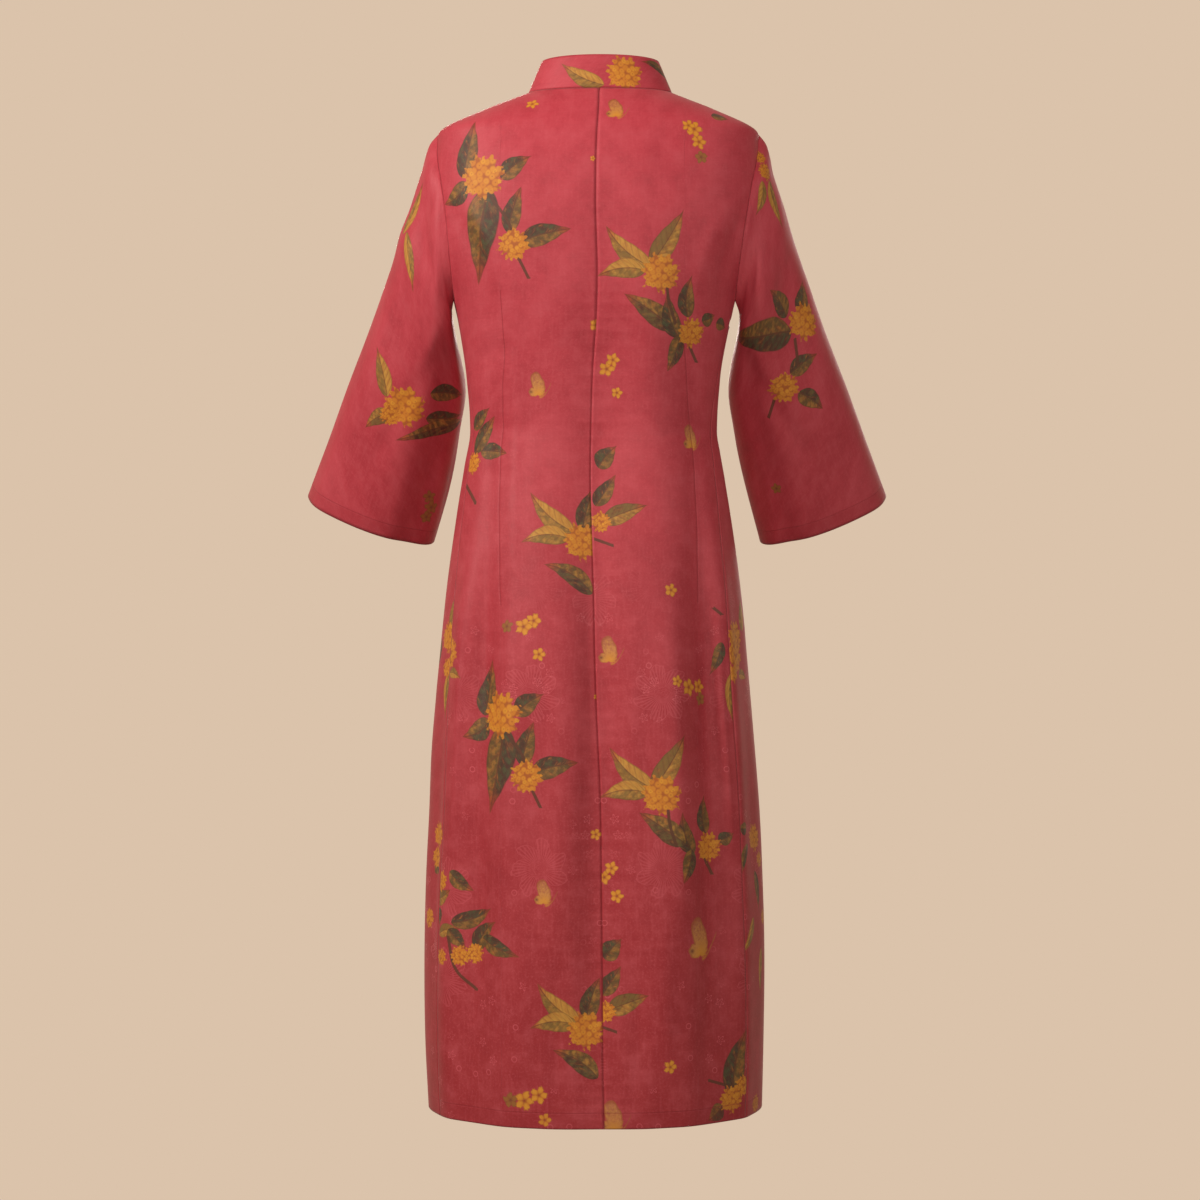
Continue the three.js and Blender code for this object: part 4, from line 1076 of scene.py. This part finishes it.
def flat_places(made, spot, reach):
    """Lays the cloth near a point out flat: right and up, in pixels of the photograph."""
    normal = made["normals"][spot]
    away = made["points"] - made["points"][spot]
    distance = length(away)[..., 0]
    near = (distance < reach * PIXEL + MARGIN) & (made["normals"] @ normal > FACING)
    up = unit(np.array([0, 0, 1]) - normal * normal[2])
    right = np.cross(up, normal)
    flat = np.stack([away[near] @ right, away[near] @ up], -1)
    flat = flat * (distance[near][:, None] / np.maximum(length(flat), 1e-6))
    return np.argwhere(near), flat / PIXEL


def layer_of(made, name):
    layers = made.setdefault("layers", {})
    if name not in layers:
        layers[name] = np.zeros(made["points"].shape[:2] + (4,))
    return layers[name]


def with_neighbours(marked):
    """Marks the grid points beside marked ones too."""
    wide = marked.copy()
    wide[1:] |= marked[:-1]
    wide[:-1] |= marked[1:]
    wider = wide.copy()
    wider[:, 1:] |= wide[:, :-1]
    wider[:, :-1] |= wide[:, 1:]
    return wider


def paint_motif(made, names, spots, x, y, tone):
    """Writes a motif's own coordinates into the layer that is freest there."""
    index = tuple(spots.T)
    layers = [layer_of(made, name) for name in names]
    busy = [(layer[index][:, 2] > 0).sum() for layer in layers]
    layer = layers[int(np.argmin(busy))]
    free = ~with_neighbours(layer[..., 2] > 0)[index]
    values = np.stack(np.broadcast_arrays(x, y, 1.0, tone), -1)
    layer[tuple(spots[free].T)] = values[free]


def paint_leaf(place, behind, direction, long, half, tone):
    made, spot = find_anchor(place, behind)
    if made is None:
        return
    long = long * LEAF_LONG
    half = half * LEAF_WIDE
    spots, flat = flat_places(made, spot, long)
    turn = np.radians(direction)
    along = flat[:, 0] * np.cos(turn) + flat[:, 1] * np.sin(turn)
    across = flat[:, 1] * np.cos(turn) - flat[:, 0] * np.sin(turn)
    bend = LEAF_BEND * long * (1 if (direction // 10) % 2 else -1)
    across = across + bend * ((2 * along / long) ** 2 - 0.5)
    margin = MARGIN / PIXEL
    covered = (np.abs(along) < long / 2 + margin) & (np.abs(across) < half * 1.1 + margin)
    paint_motif(made, LEAF_LAYERS, spots[covered], along[covered] / long + 0.5,
                across[covered] / half, tone)


def paint_round(place, behind, radius, tone, names):
    made, spot = find_anchor(place, behind)
    if made is None:
        return
    radius = radius * ROUND_WIDE.get(names[0], 1.0)
    spots, flat = flat_places(made, spot, radius * ROUND_REACH)
    paint_motif(made, names, spots, flat[:, 0] / radius, flat[:, 1] / radius, tone)


def paint_stem(points, behind):
    """Stores the signed distance from a stem's line, in pixels of the photograph."""
    line = curve_points(points, STEM_POINTS)
    middle = line[STEM_POINTS // 2]
    made, _ = find_anchor(middle, behind)
    if made is None:
        return
    seen, facing = seen_from(made, behind)
    near = (length(seen - middle)[..., 0] < STEM_REACH) & (facing > FACING)
    gaps = seen[near][:, None] - line[None]
    closest = length(gaps)[..., 0].argmin(axis=1)
    gap = gaps[np.arange(len(gaps)), closest]
    tangent = unit(np.gradient(line, axis=0))[closest]
    beside = gap[:, 0] * tangent[:, 1] - gap[:, 1] * tangent[:, 0]
    beyond = np.abs((gap * tangent).sum(-1))
    covered = (np.abs(beside) < STEM_SIDE) & (beyond < STEM_END)
    paint_motif(made, ("stem",), np.argwhere(near)[covered], beside[covered], 0.0, 0.0)


def paint_sprig(behind, name, middle_x, middle_y, wide=1.0, tall=1.0):
    sprig = SPRIGS[name]

    def at(x, y):
        return (middle_x + x * wide, middle_y + y * tall)

    for x, y, direction, long, half, tone in sprig["leaves"]:
        paint_leaf(at(x, y), behind, direction, long * tall, half, tone)
    for i, (x, y, radius) in enumerate(sprig["clusters"]):
        paint_round(at(x, y), behind, radius, 0.3 * i, CLUSTER_LAYERS)
    for points in sprig["stems"]:
        paint_stem([at(x, y) for x, y in points], behind)


def paint_print(behind, sprigs, blossoms, butterflies):
    for sprig in sprigs:
        paint_sprig(behind, *sprig)
    for x, y, radius, tone in blossoms:
        paint_round((x, y), behind, radius, tone, BLOSSOM_LAYERS)
    for x, y, size in butterflies:
        paint_round((x, y), behind, size, 0, ("butterfly",))


def dart_distance(made, dart):
    """Distance from a dart's line in the photograph, in millimetres; far away past its ends."""
    rows, columns = zip(*dart)
    seen, facing = seen_from(made, True)
    across = (seen[..., 0] - np.interp(seen[..., 1], rows, columns)) * PIXEL
    beyond = np.maximum(rows[0] - seen[..., 1], seen[..., 1] - rows[-1])
    return np.where((facing > FACING) & (beyond < DART_END), across, FAR * np.sign(across))


def ground_places(node, made):
    """Where each point lies on the flat silk: across and up, in millimetres."""
    top, _, start, _ = made["edges"]
    if not node.startswith("sleeve"):
        return np.stack([start, made["points"][..., 2]], -1)
    points = made["points"]
    ring = length(np.diff(points, axis=1, append=points[:, :1]))[..., 0]
    return np.stack([np.cumsum(ring, axis=1) * SLEEVE_GROUND, -top], -1)


def sewn_edges(node, made):
    """How far each point is from its nearest seam, its hem, its dart and the lap's edge."""
    top, foot, start, end = made["edges"]
    seam = np.minimum(top, end)
    hem = foot
    dart = lap = np.full(top.shape, FAR)
    if node == "front":
        lap = start
    elif node != "front_under":
        seam = np.minimum(seam, start)
    if node in ("front_under", "collar"):
        seam = np.minimum(seam, foot)
        hem = lap
    if node in DARTS:
        dart = dart_distance(made, DARTS[node])
    return np.clip(np.stack([seam, hem, dart, lap], -1), -FAR, FAR)


paint_print(True, SPRIGS_BEHIND, BLOSSOMS_BEHIND, BUTTERFLIES_BEHIND)
paint_print(False, SPRIGS_AHEAD, BLOSSOMS_AHEAD, BUTTERFLIES_AHEAD)
for node, made in pieces.items():
    for name in PRINT_LAYERS:
        paint(made["piece"], name, layer_of(made, name))
    paint(made["piece"], "cloth", ground_places(node, made))
    paint(made["piece"], "edges", sewn_edges(node, made))


def plain_material(name, colour, roughness):
    material = bpy.data.materials.new(name)
    material.use_nodes = True
    shader = material.node_tree.nodes["Principled BSDF"]
    shader.inputs["Base Color"].default_value = (*colour, 1)
    shader.inputs["Roughness"].default_value = roughness
    return material


class Number:
    """A value in a material's node tree, which sums, products and so on can be written with."""

    def __init__(self, graph, socket):
        self.graph = graph
        self.socket = socket

    def __add__(self, other):
        return self.graph.math("ADD", self, other)

    def __radd__(self, other):
        return self.graph.math("ADD", other, self)

    def __sub__(self, other):
        return self.graph.math("SUBTRACT", self, other)

    def __rsub__(self, other):
        return self.graph.math("SUBTRACT", other, self)

    def __mul__(self, other):
        return self.graph.math("MULTIPLY", self, other)

    def __rmul__(self, other):
        return self.graph.math("MULTIPLY", other, self)

    def __truediv__(self, other):
        return self.graph.math("DIVIDE", self, other)


class Graph:
    """Adds nodes to one material's tree."""

    def __init__(self, material):
        self.tree = material.node_tree
        self.shader = self.tree.nodes["Principled BSDF"]

    def feed(self, socket, value):
        if isinstance(value, Number):
            self.tree.links.new(value.socket, socket)
        else:
            socket.default_value = value

    def math(self, operation, *values):
        node = self.tree.nodes.new("ShaderNodeMath")
        node.operation = operation
        for socket, value in zip(node.inputs, values):
            self.feed(socket, value)
        return Number(self, node.outputs[0])

    def step(self, value, edge, soft):
        """Rises from 0 to 1 as the value passes an edge."""
        node = self.tree.nodes.new("ShaderNodeMapRange")
        node.interpolation_type = "SMOOTHSTEP"
        self.feed(node.inputs["Value"], value)
        self.feed(node.inputs["From Min"], edge - soft)
        self.feed(node.inputs["From Max"], edge + soft)
        return Number(self, node.outputs["Result"])

    def attribute(self, name):
        """The four numbers of a stored layer."""
        node = self.tree.nodes.new("ShaderNodeAttribute")
        node.attribute_name = name
        split = self.tree.nodes.new("ShaderNodeSeparateXYZ")
        self.tree.links.new(node.outputs["Color"], split.inputs[0])
        numbers = [Number(self, split.outputs[i]) for i in range(3)]
        return (*numbers, Number(self, node.outputs["Alpha"]))

    def vector(self, x, y, z=0.0):
        node = self.tree.nodes.new("ShaderNodeCombineXYZ")
        for socket, value in zip(node.inputs, (x, y, z)):
            self.feed(socket, value)
        return Number(self, node.outputs[0])

    def noise(self, place, scale, detail=2.0, rough=0.5):
        node = self.tree.nodes.new("ShaderNodeTexNoise")
        self.feed(node.inputs["Vector"], place)
        node.inputs["Scale"].default_value = scale
        node.inputs["Detail"].default_value = detail
        node.inputs["Roughness"].default_value = rough
        return Number(self, node.outputs["Fac"])

    def cells(self, place, scale):
        """Distance to the nearest cell's middle, that middle, and two numbers of its own."""
        node = self.tree.nodes.new("ShaderNodeTexVoronoi")
        node.voronoi_dimensions = "2D"
        self.feed(node.inputs["Vector"], place)
        node.inputs["Scale"].default_value = scale
        middle = self.tree.nodes.new("ShaderNodeSeparateXYZ")
        self.tree.links.new(node.outputs["Position"], middle.inputs[0])
        own = self.tree.nodes.new("ShaderNodeSeparateColor")
        self.tree.links.new(node.outputs["Color"], own.inputs[0])
        sockets = (node.outputs["Distance"], *middle.outputs[:2], *own.outputs[:2])
        return [Number(self, socket) for socket in sockets]

    def mix(self, factor, first, second):
        """One colour over another."""
        node = self.tree.nodes.new("ShaderNodeMix")
        node.data_type = "RGBA"
        self.feed(node.inputs[0], factor)
        for socket, colour in ((node.inputs[6], first), (node.inputs[7], second)):
            self.feed(socket, colour if isinstance(colour, Number) else (*colour, 1))
        return Number(self, node.outputs[2])

    def tint(self, colour, value, edge, soft, share, over):
        """Lays a share of another colour over one where a value passes an edge."""
        return self.mix(self.step(value, edge, soft) * share, colour, over)

    def sine(self, value):
        return self.math("SINE", value)

    def absolute(self, value):
        return self.math("ABSOLUTE", value)

    def bell(self, value, width):
        """1 where the value is 0, falling away over a width."""
        scaled = value / width
        return self.math("EXPONENT", scaled * scaled * -1.0)

    def polar(self, x, y):
        return self.math("SQRT", x * x + y * y), self.math("ARCTAN2", y, x)

    def within(self, mask):
        """1 inside a motif's own stretch of a layer, and 0 where it meets bare cloth."""
        return self.step(mask, 0.93, 0.04)

    def bump(self, height, depth):
        """Raises the surface by a height, counted in a depth in metres."""
        node = self.tree.nodes.new("ShaderNodeBump")
        node.inputs["Strength"].default_value = 0.7
        node.inputs["Distance"].default_value = depth
        self.feed(node.inputs["Height"], height)
        self.tree.links.new(node.outputs["Normal"], self.shader.inputs["Normal"])


# Colours of the print, the cord and the silk
LEAF_DARK = (0.026, 0.020, 0.010)
LEAF_GREEN = (0.018, 0.062, 0.024)
LEAF_OLIVE = (0.120, 0.090, 0.018)
LEAF_RUST = (0.220, 0.055, 0.016)
LEAF_AMBER = (0.440, 0.190, 0.028)
LEAF_GOLD = (0.560, 0.300, 0.045)
LEAF_TIP = (0.440, 0.050, 0.020)
LEAF_VEIN = (0.060, 0.018, 0.010)
FLORET_LIGHT = (0.680, 0.300, 0.020)
FLORET_DEEP = (0.560, 0.185, 0.012)
FLORET_GAP = (0.260, 0.045, 0.010)
BLOSSOM_DARK = (0.120, 0.050, 0.020)
WING_PALE = (0.560, 0.250, 0.060)
WING_GREY = (0.360, 0.105, 0.050)
STEM = (0.075, 0.030, 0.012)
CORD = (0.300, 0.020, 0.030)
# The cord's deep and pale colours: painted shade between its twists and painted highlight on their
# crests; the deep one also darkens its grain
CORD_GROOVE_SHADE_AND_GRAIN = (0.200, 0.010, 0.020)
CORD_CREST_HIGHLIGHT = (0.420, 0.035, 0.050)
SILK_TOP = (0.490, 0.038, 0.058)
# The silk at the hem: its colour darkened with painted shade, as less light reaches the lower
# cloth
SILK_FOOT_SHADED = (0.320, 0.020, 0.024)
SILK_PALE = (0.580, 0.095, 0.115)
SILK_DEEP = (0.240, 0.010, 0.018)
SHEEN = (1.000, 0.620, 0.600)
GROUND = 0.01        # scale at which the silk's ground is drawn: one unit is 100 mm


def lay_leaf(graph, base, name, grain):
    """Draws one layer's leaves over a base colour."""
    along, across, mask, tone = graph.attribute(name)
    across = across + graph.sine(tone * 40.0) * (along - 0.35) * (along - 0.35) * 0.9
    start = graph.math("POWER", graph.math("MAXIMUM", along, 0.0001), 0.66)
    end = graph.math("POWER", graph.math("MAXIMUM", 1.0 - along, 0.0001), 1.3)
    wave = graph.sine(along * 27.0 + tone * 9.0) * 0.03
    half = start * end * 3.3 + wave * along - 0.02
    side = graph.absolute(across)
    inside = graph.step(half - side, 0.02, 0.045) * graph.within(mask)
    upper = graph.step(across + (grain - 0.5) * 0.4, 0.02, 0.10)
    slant = along - side * 0.22
    stroke_place = graph.vector(slant * 5.0 + tone * 31.0, across * 0.9 + tone * 17.0)
    strokes = graph.noise(stroke_place, 2.2, 3.0, 0.6)
    dark = graph.mix(graph.step(grain, 0.52, 0.16), LEAF_DARK, LEAF_GREEN)
    warm = graph.mix(graph.step(grain, 0.54, 0.14), LEAF_OLIVE, LEAF_AMBER)
    shaded = graph.mix(upper * 0.6 + 0.36, warm, dark)
    shaded = graph.tint(shaded, strokes, 0.60, 0.12, 0.55, LEAF_RUST)
    shaded = graph.tint(shaded, strokes, 0.68, 0.10, 0.6, LEAF_AMBER)
    golden = graph.mix(graph.step(strokes, 0.5, 0.2), LEAF_GOLD, LEAF_AMBER)
    golden = graph.tint(golden, grain, 0.42, 0.2, upper * 0.8, LEAF_OLIVE)
    colour = graph.mix(graph.step(tone + (grain - 0.5) * 0.7, 0.6, 0.25), shaded, golden)
    colour = graph.tint(colour, along + (grain - 0.5) * 0.3, 0.80, 0.14, 0.8, LEAF_TIP)
    colour = graph.tint(colour, graph.sine(slant * 46.0), 0.62, 0.3, 0.20, LEAF_VEIN)
    rib = graph.bell(across, 0.05) * 0.7
    colour = graph.tint(colour, 1.0 - along, 0.06, 0.05, rib, LEAF_VEIN)
    rim = graph.bell(half - side - 0.04, 0.06)
    colour = graph.mix(rim * 0.5, colour, LEAF_VEIN)
    return graph.mix(inside * 0.96, base, colour)


def lay_cluster(graph, base, name, grain):
    """Draws one layer's round clusters of small florets."""
    x, y, mask, tone = graph.attribute(name)
    radius, angle = graph.polar(x, y)
    lobes = graph.sine(angle * 7.0 + tone * 9.0) * 0.07
    lobes = lobes + graph.sine(angle * 17.0 + tone * 21.0) * 0.075
    place = graph.vector(x + tone * 13.0, y - tone * 7.0)
    distance, _, _, own, other = graph.cells(place, 3.9)
    edge = 0.92 + lobes + (grain - 0.5) * 0.45 - distance * 0.2
    inside = graph.step(edge - radius, 0.0, 0.035) * graph.within(mask)
    colour = graph.mix(own, FLORET_DEEP, FLORET_LIGHT)
    colour = graph.tint(colour, distance, 0.42, 0.13, 1.0, FLORET_DEEP)
    colour = graph.tint(colour, distance, 0.60, 0.12, 0.6, FLORET_GAP)
    colour = graph.mix(graph.bell(distance, 0.11) * other * 0.7, colour, FLORET_GAP)
    colour = graph.tint(colour, radius + (grain - 0.5) * 0.8, 0.92, 0.3, 0.3, FLORET_GAP)
    return graph.mix(inside * 0.97, base, colour)


def lay_blossom(graph, base, name, grain):
    """Draws one layer's single blossoms of five petals."""
    x, y, mask, tone = graph.attribute(name)
    radius, angle = graph.polar(x, y)
    petal = graph.absolute(graph.math("COSINE", angle * 2.5 + tone * 2.0))
    edge = 0.60 + petal * 0.36 + (grain - 0.5) * 0.7
    inside = graph.step(edge - radius, 0.0, 0.07) * graph.within(mask)
    colour = graph.mix(petal, FLORET_DEEP, FLORET_LIGHT)
    colour = graph.mix(graph.bell(radius, 0.24), colour, FLORET_GAP)
    colour = graph.mix(graph.bell(edge - radius, 0.10) * 0.6, colour, FLORET_GAP)
    colour = graph.mix(tone * 0.72, colour, BLOSSOM_DARK)
    return graph.mix(inside * 0.93, base, colour)


def lay_butterfly(graph, base, name, grain):
    """Draws small butterflies seen from the side: two raised wings and feelers."""
    x, y, mask, _ = graph.attribute(name)
    radius, angle = graph.polar(x - 0.05, y + 0.62)
    scallops = graph.sine(angle * 15.0) * 0.04
    turned_x = x * 0.95 + y * 0.31 - 0.06
    turned_y = y * 0.95 - x * 0.31 - 0.10
    upper = graph.math("SQRT", turned_x * turned_x * 4.2 + turned_y * turned_y * 1.15)
    low_x = x + 0.28
    low_y = y + 0.42
    lower = graph.math("SQRT", low_x * low_x * 5.0 + low_y * low_y * 7.0)
    nearest = graph.math("MINIMUM", upper + scallops, lower + scallops + 0.1)
    wing = graph.step(0.92 - nearest, 0.0, 0.06)
    feeler = graph.bell(y + 0.80 - (x - 0.15) * (x - 0.15) * 1.5, 0.06)
    feeler = feeler * graph.step(x, 0.12, 0.06) * graph.step(0.95 - x, 0.0, 0.06)
    inside = graph.math("MAXIMUM", wing, feeler * 0.85) * graph.within(mask)
    colour = graph.mix(graph.step(grain + radius * 0.25, 0.75, 0.25), WING_PALE, WING_GREY)
    colour = graph.tint(colour, graph.sine(angle * 26.0), 0.35, 0.4, 0.25, LEAF_AMBER)
    colour = graph.tint(colour, nearest, 0.78, 0.10, 0.6, FLORET_GAP)
    colour = graph.mix(graph.bell(radius, 0.42) * 0.8, colour, FLORET_LIGHT)
    eye = graph.bell(x + 0.48, 0.12) * graph.bell(y + 0.42, 0.10)
    colour = graph.mix(eye * 0.8, colour, LEAF_VEIN)
    return graph.mix(inside * 0.92, base, colour)


def lay_stem(graph, base, name, grain):
    beside, _, mask, _ = graph.attribute(name)
    inside = graph.step(1.5 - graph.absolute(beside) + (grain - 0.5) * 0.8, 0.0, 0.35)
    return graph.mix(inside * graph.step(mask, 0.8, 0.1) * 0.9, base, STEM)


def cells_of_ground(graph, u, v, scale):
    """Distance in millimetres and angle from a cell's middle, and two numbers of its own."""
    place = graph.vector(u * GROUND, v * GROUND)
    _, middle_x, middle_y, own, other = graph.cells(place, scale)
    radius, angle = graph.polar((u * GROUND - middle_x) / GROUND, (v * GROUND - middle_y) / GROUND)
    return radius, angle, own, other


def jacquard(graph, u, v, place):
    """The figured weave: star blossoms, rings and large feathery flowers, as faint lines."""
    patches = graph.step(graph.noise(place, 1.1, 1.0), 0.52, 0.08)
    low = graph.step(v * -1.0, 560.0, 160.0)
    radius, angle, own, other = cells_of_ground(graph, u, v, 5.2)
    star = radius - 3.4 - graph.sine(angle * 5.0 + own * 6.0) * 1.7
    ring = radius - 3.0
    small = graph.bell(star, 0.55) * graph.step(own, 0.5, 0.02)
    small = small + graph.bell(ring, 0.5) * graph.step(0.32 - own, 0.0, 0.02)
    small = small * graph.step(other, 0.35, 0.02) * patches * (low * 0.8 + 0.2)
    radius, angle, own, _ = cells_of_ground(graph, u, v, 0.95)
    petals = graph.absolute(graph.sine(angle * 3.5 + radius * 0.06)) * 14.0
    radius = radius + (graph.noise(place, 9.0, 2.0) - 0.5) * 14.0
    band = graph.step(radius, 8.0, 3.0) * graph.step(19.0 + petals - radius, 0.0, 3.0)
    rays = graph.step(graph.sine(angle * 44.0 + radius * 0.16), 0.25, 0.45) * band
    outline = graph.bell(radius - 20.0 - petals, 0.7)
    heart = graph.bell(graph.sine(radius * 1.3), 0.35) * graph.step(8.0 - radius, 0, 0.5)
    large = (rays * 0.7 + outline + heart * 0.6) * graph.step(own, 0.66, 0.04)
    return small * 1.7 + large * (low * 0.8 + 0.05)


def silk_material():
    material = plain_material("silk", SILK_TOP, 0.5)
    graph = Graph(material)
    u, v, _, _ = graph.attribute("cloth")
    seam, hem, dart, lap = graph.attribute("edges")
    place = graph.vector(u * GROUND, v * GROUND)
    broad = graph.noise(place, 0.9, 3.0, 0.6)
    cloudy = graph.noise(place, 4.0, 4.0, 0.65)
    fine = graph.noise(place, 38.0, 2.0, 0.6)
    warp = graph.noise(graph.vector(u * 0.03, v * 0.004), 9.0, 2.0)
    weft = graph.noise(graph.vector(u * 0.006, v * 0.05), 9.0, 2.0)
    grain = graph.noise(place, 30.0, 3.0, 0.6)
    washes = graph.noise(place, 13.0, 3.0, 0.55)
    weave = graph.sine(u * 9.0) * graph.sine(v * 9.0)
    figures = jacquard(graph, u, v, place)

    # The silk darkens from the top towards the hem: painted shade, as less light reaches the lower
    # cloth
    colour = graph.mix(graph.step(v * -1.0, 640.0, 640.0), SILK_TOP, SILK_FOOT_SHADED)
    for value, edge, soft, share, over in (
            (cloudy, 0.60, 0.16, 0.34, SILK_PALE),
            (1.0 - cloudy, 0.60, 0.16, 0.30, SILK_DEEP),
            (broad, 0.58, 0.14, 0.20, SILK_PALE),
            (1.0 - broad, 0.58, 0.14, 0.22, SILK_DEEP),
            (fine, 0.60, 0.12, 0.22, SILK_PALE),
            (warp, 0.58, 0.12, 0.12, SILK_PALE),
            (1.0 - weft, 0.60, 0.12, 0.08, SILK_DEEP)):
        colour = graph.tint(colour, value, edge, soft, share, over)
    colour = graph.mix(figures * 0.55, colour, SILK_PALE)
    for names, lay, shading in ((LEAF_LAYERS, lay_leaf, washes), (("stem",), lay_stem, grain),
                                (CLUSTER_LAYERS, lay_cluster, grain),
                                (BLOSSOM_LAYERS, lay_blossom, grain),
                                (("butterfly",), lay_butterfly, grain)):
        for name in names:
            colour = lay(graph, colour, name, shading)
    colour = graph.tint(colour, weave, 0.2, 0.6, 0.10, SILK_PALE)
    hem_line = graph.bell(hem - HEM_DEPTH, 0.55) + graph.bell(hem - 0.2, 0.5) * 0.6
    lines = graph.bell(seam, 0.6) * 0.22 + graph.bell(dart, 0.55) * 0.85
    lines = graph.math("MINIMUM", lines + hem_line * 0.60 + graph.bell(lap, 0.8) * 0.6, 1.0)
    colour = graph.mix(lines * 0.75, colour, SILK_DEEP)
    colour = graph.tint(colour, HEM_DEPTH - hem, 0.0, 0.4, 0.16, SILK_DEEP)
    graph.feed(graph.shader.inputs["Base Color"], colour)

    roughness = 0.56 + (cloudy - 0.5) * 0.22 - figures * 0.12
    graph.feed(graph.shader.inputs["Roughness"], roughness)
    pucker = graph.noise(graph.vector(u * 0.012, v * 0.05), 3.0, 1.0) - 0.5
    beside = graph.bell(seam, 9.0) + graph.bell(dart, 7.0)
    height = graph.bell(seam, 1.5) * -0.2 - graph.bell(dart, 1.3) * 0.55
    height = height + beside * pucker * 0.8 - graph.bell(hem - HEM_DEPTH, 0.7) * 0.25
    height = height + (cloudy - 0.5) * 0.30 + (fine - 0.5) * 0.10 + weave * 0.012
    graph.bump(height + (broad - 0.5) * 1.2, MM)
    graph.shader.inputs["Specular IOR Level"].default_value = 0.28
    graph.shader.inputs["Sheen Weight"].default_value = 0.07
    graph.shader.inputs["Sheen Roughness"].default_value = 0.45
    graph.shader.inputs["Sheen Tint"].default_value = (*SHEEN, 1)
    return material


def cord_material():
    """Silk rolled into a cord: slanting twists with a painted highlight on their crests and
    painted shade between them, and a fine grain.
    """
    material = plain_material("cord", CORD, 0.5)
    graph = Graph(material)
    coordinates = graph.tree.nodes.new("ShaderNodeTexCoord")
    place = Number(graph, coordinates.outputs["Object"])
    split = graph.tree.nodes.new("ShaderNodeSeparateXYZ")
    graph.feed(split.inputs[0], place)
    x, _, z = (Number(graph, socket) for socket in split.outputs)
    twist = graph.sine((x * 1.3 + z) * 1900.0)
    grain = graph.noise(place, 900.0, 3.0, 0.6)
    # Painted highlight on the crests of the twists and painted shade in the grooves between them
    colour = graph.mix(graph.step(twist, 0.1, 0.8), CORD_GROOVE_SHADE_AND_GRAIN, CORD_CREST_HIGHLIGHT)
    colour = graph.tint(colour, grain, 0.55, 0.12, 0.35, CORD_GROOVE_SHADE_AND_GRAIN)
    graph.feed(graph.shader.inputs["Base Color"], colour)
    graph.feed(graph.shader.inputs["Roughness"], 0.42 + grain * 0.2)
    graph.bump(twist * 0.5 + grain * 0.3, 0.4 * MM)
    return material


silk = silk_material()
cord = cord_material()
for made in pieces.values():
    made["piece"].data.materials.append(silk)
for node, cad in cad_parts.items():
    if node.startswith("frog"):
        cad.data.materials.clear()
        cad.data.materials.append(cord)


def add_camera():
    data = bpy.data.cameras.new("camera")
    data.sensor_width = SENSOR
    data.lens = SENSOR * CAMERA_DISTANCE / (PHOTO_SIZE * PIXEL)
    camera = bpy.data.objects.new("camera", data)
    camera.location = (CAMERA_X * MM, CAMERA_DISTANCE * MM, CAMERA_Z * MM)
    camera.rotation_euler = (np.pi / 2, 0, np.pi)
    bpy.context.scene.collection.objects.link(camera)
    bpy.context.scene.camera = camera


# The studio: its floor's height and size in metres, and its backdrop's colour
FLOOR_Z = -1.45
FLOOR_SIZE = 14
BACKGROUND = (0.708, 0.546, 0.407)
# The lights: where each stands, the height on the garment's own axis that it points at, the
# side of its square, all in metres, its power in watts and its colour
WARM = (1.0, 0.93, 0.86)
WARMER = (1.0, 0.86, 0.72)
LIGHTS = [
    ("key", (2.7, 1.8, 1.2), -0.1, 0.8, 104, WARM),
    ("sky", (0.2, 3.2, 0.6), -0.3, 2.0, 44, WARM),
    ("fill", (-2.2, 2.4, 0.4), -0.4, 1.4, 27, WARM),
    ("front", (0.3, -3.2, 0.7), -0.5, 1.2, 78, WARM),
    ("front_fill", (-1.3, -3.0, 0.2), -0.6, 1.2, 20, WARM),
    ("bounce", (0.0, 0.3, -2.9), -0.8, 2.4, 12, WARMER),
]


def add_light(name, place, aim, size, power, colour):
    data = bpy.data.lights.new(name, "AREA")
    data.shape = "SQUARE"
    data.size = size
    data.energy = power
    data.color = colour
    light = bpy.data.objects.new(name, data)
    light.location = place
    direction = Vector((0, 0, aim)) - Vector(place)
    light.rotation_euler = direction.to_track_quat("-Z", "Y").to_euler()
    bpy.context.scene.collection.objects.link(light)


def add_world():
    """An even backdrop, which the cloth isn't lit by."""
    world = bpy.data.worlds.new("studio")
    bpy.context.scene.world = world
    world.use_nodes = True
    background = world.node_tree.nodes["Background"]
    background.inputs["Color"].default_value = (*BACKGROUND, 1)
    background.inputs["Strength"].default_value = 1.0
    world.cycles_visibility.diffuse = False


def add_floor():
    """A floor of the backdrop's own colour, so that no horizon shows."""
    bpy.ops.mesh.primitive_plane_add(size=FLOOR_SIZE, location=(0, 0, FLOOR_Z))
    floor = bpy.context.object
    floor.name = "floor"
    pale = plain_material("floor", (0, 0, 0), 1.0)
    shader = pale.node_tree.nodes["Principled BSDF"]
    shader.inputs["Specular IOR Level"].default_value = 0
    shader.inputs["Emission Color"].default_value = (*BACKGROUND, 1)
    shader.inputs["Emission Strength"].default_value = 1
    floor.data.materials.append(pale)
    floor.visible_diffuse = False


add_camera()
add_world()
add_floor()
for light in LIGHTS:
    add_light(*light)
bpy.context.scene.view_settings.view_transform = "Standard"
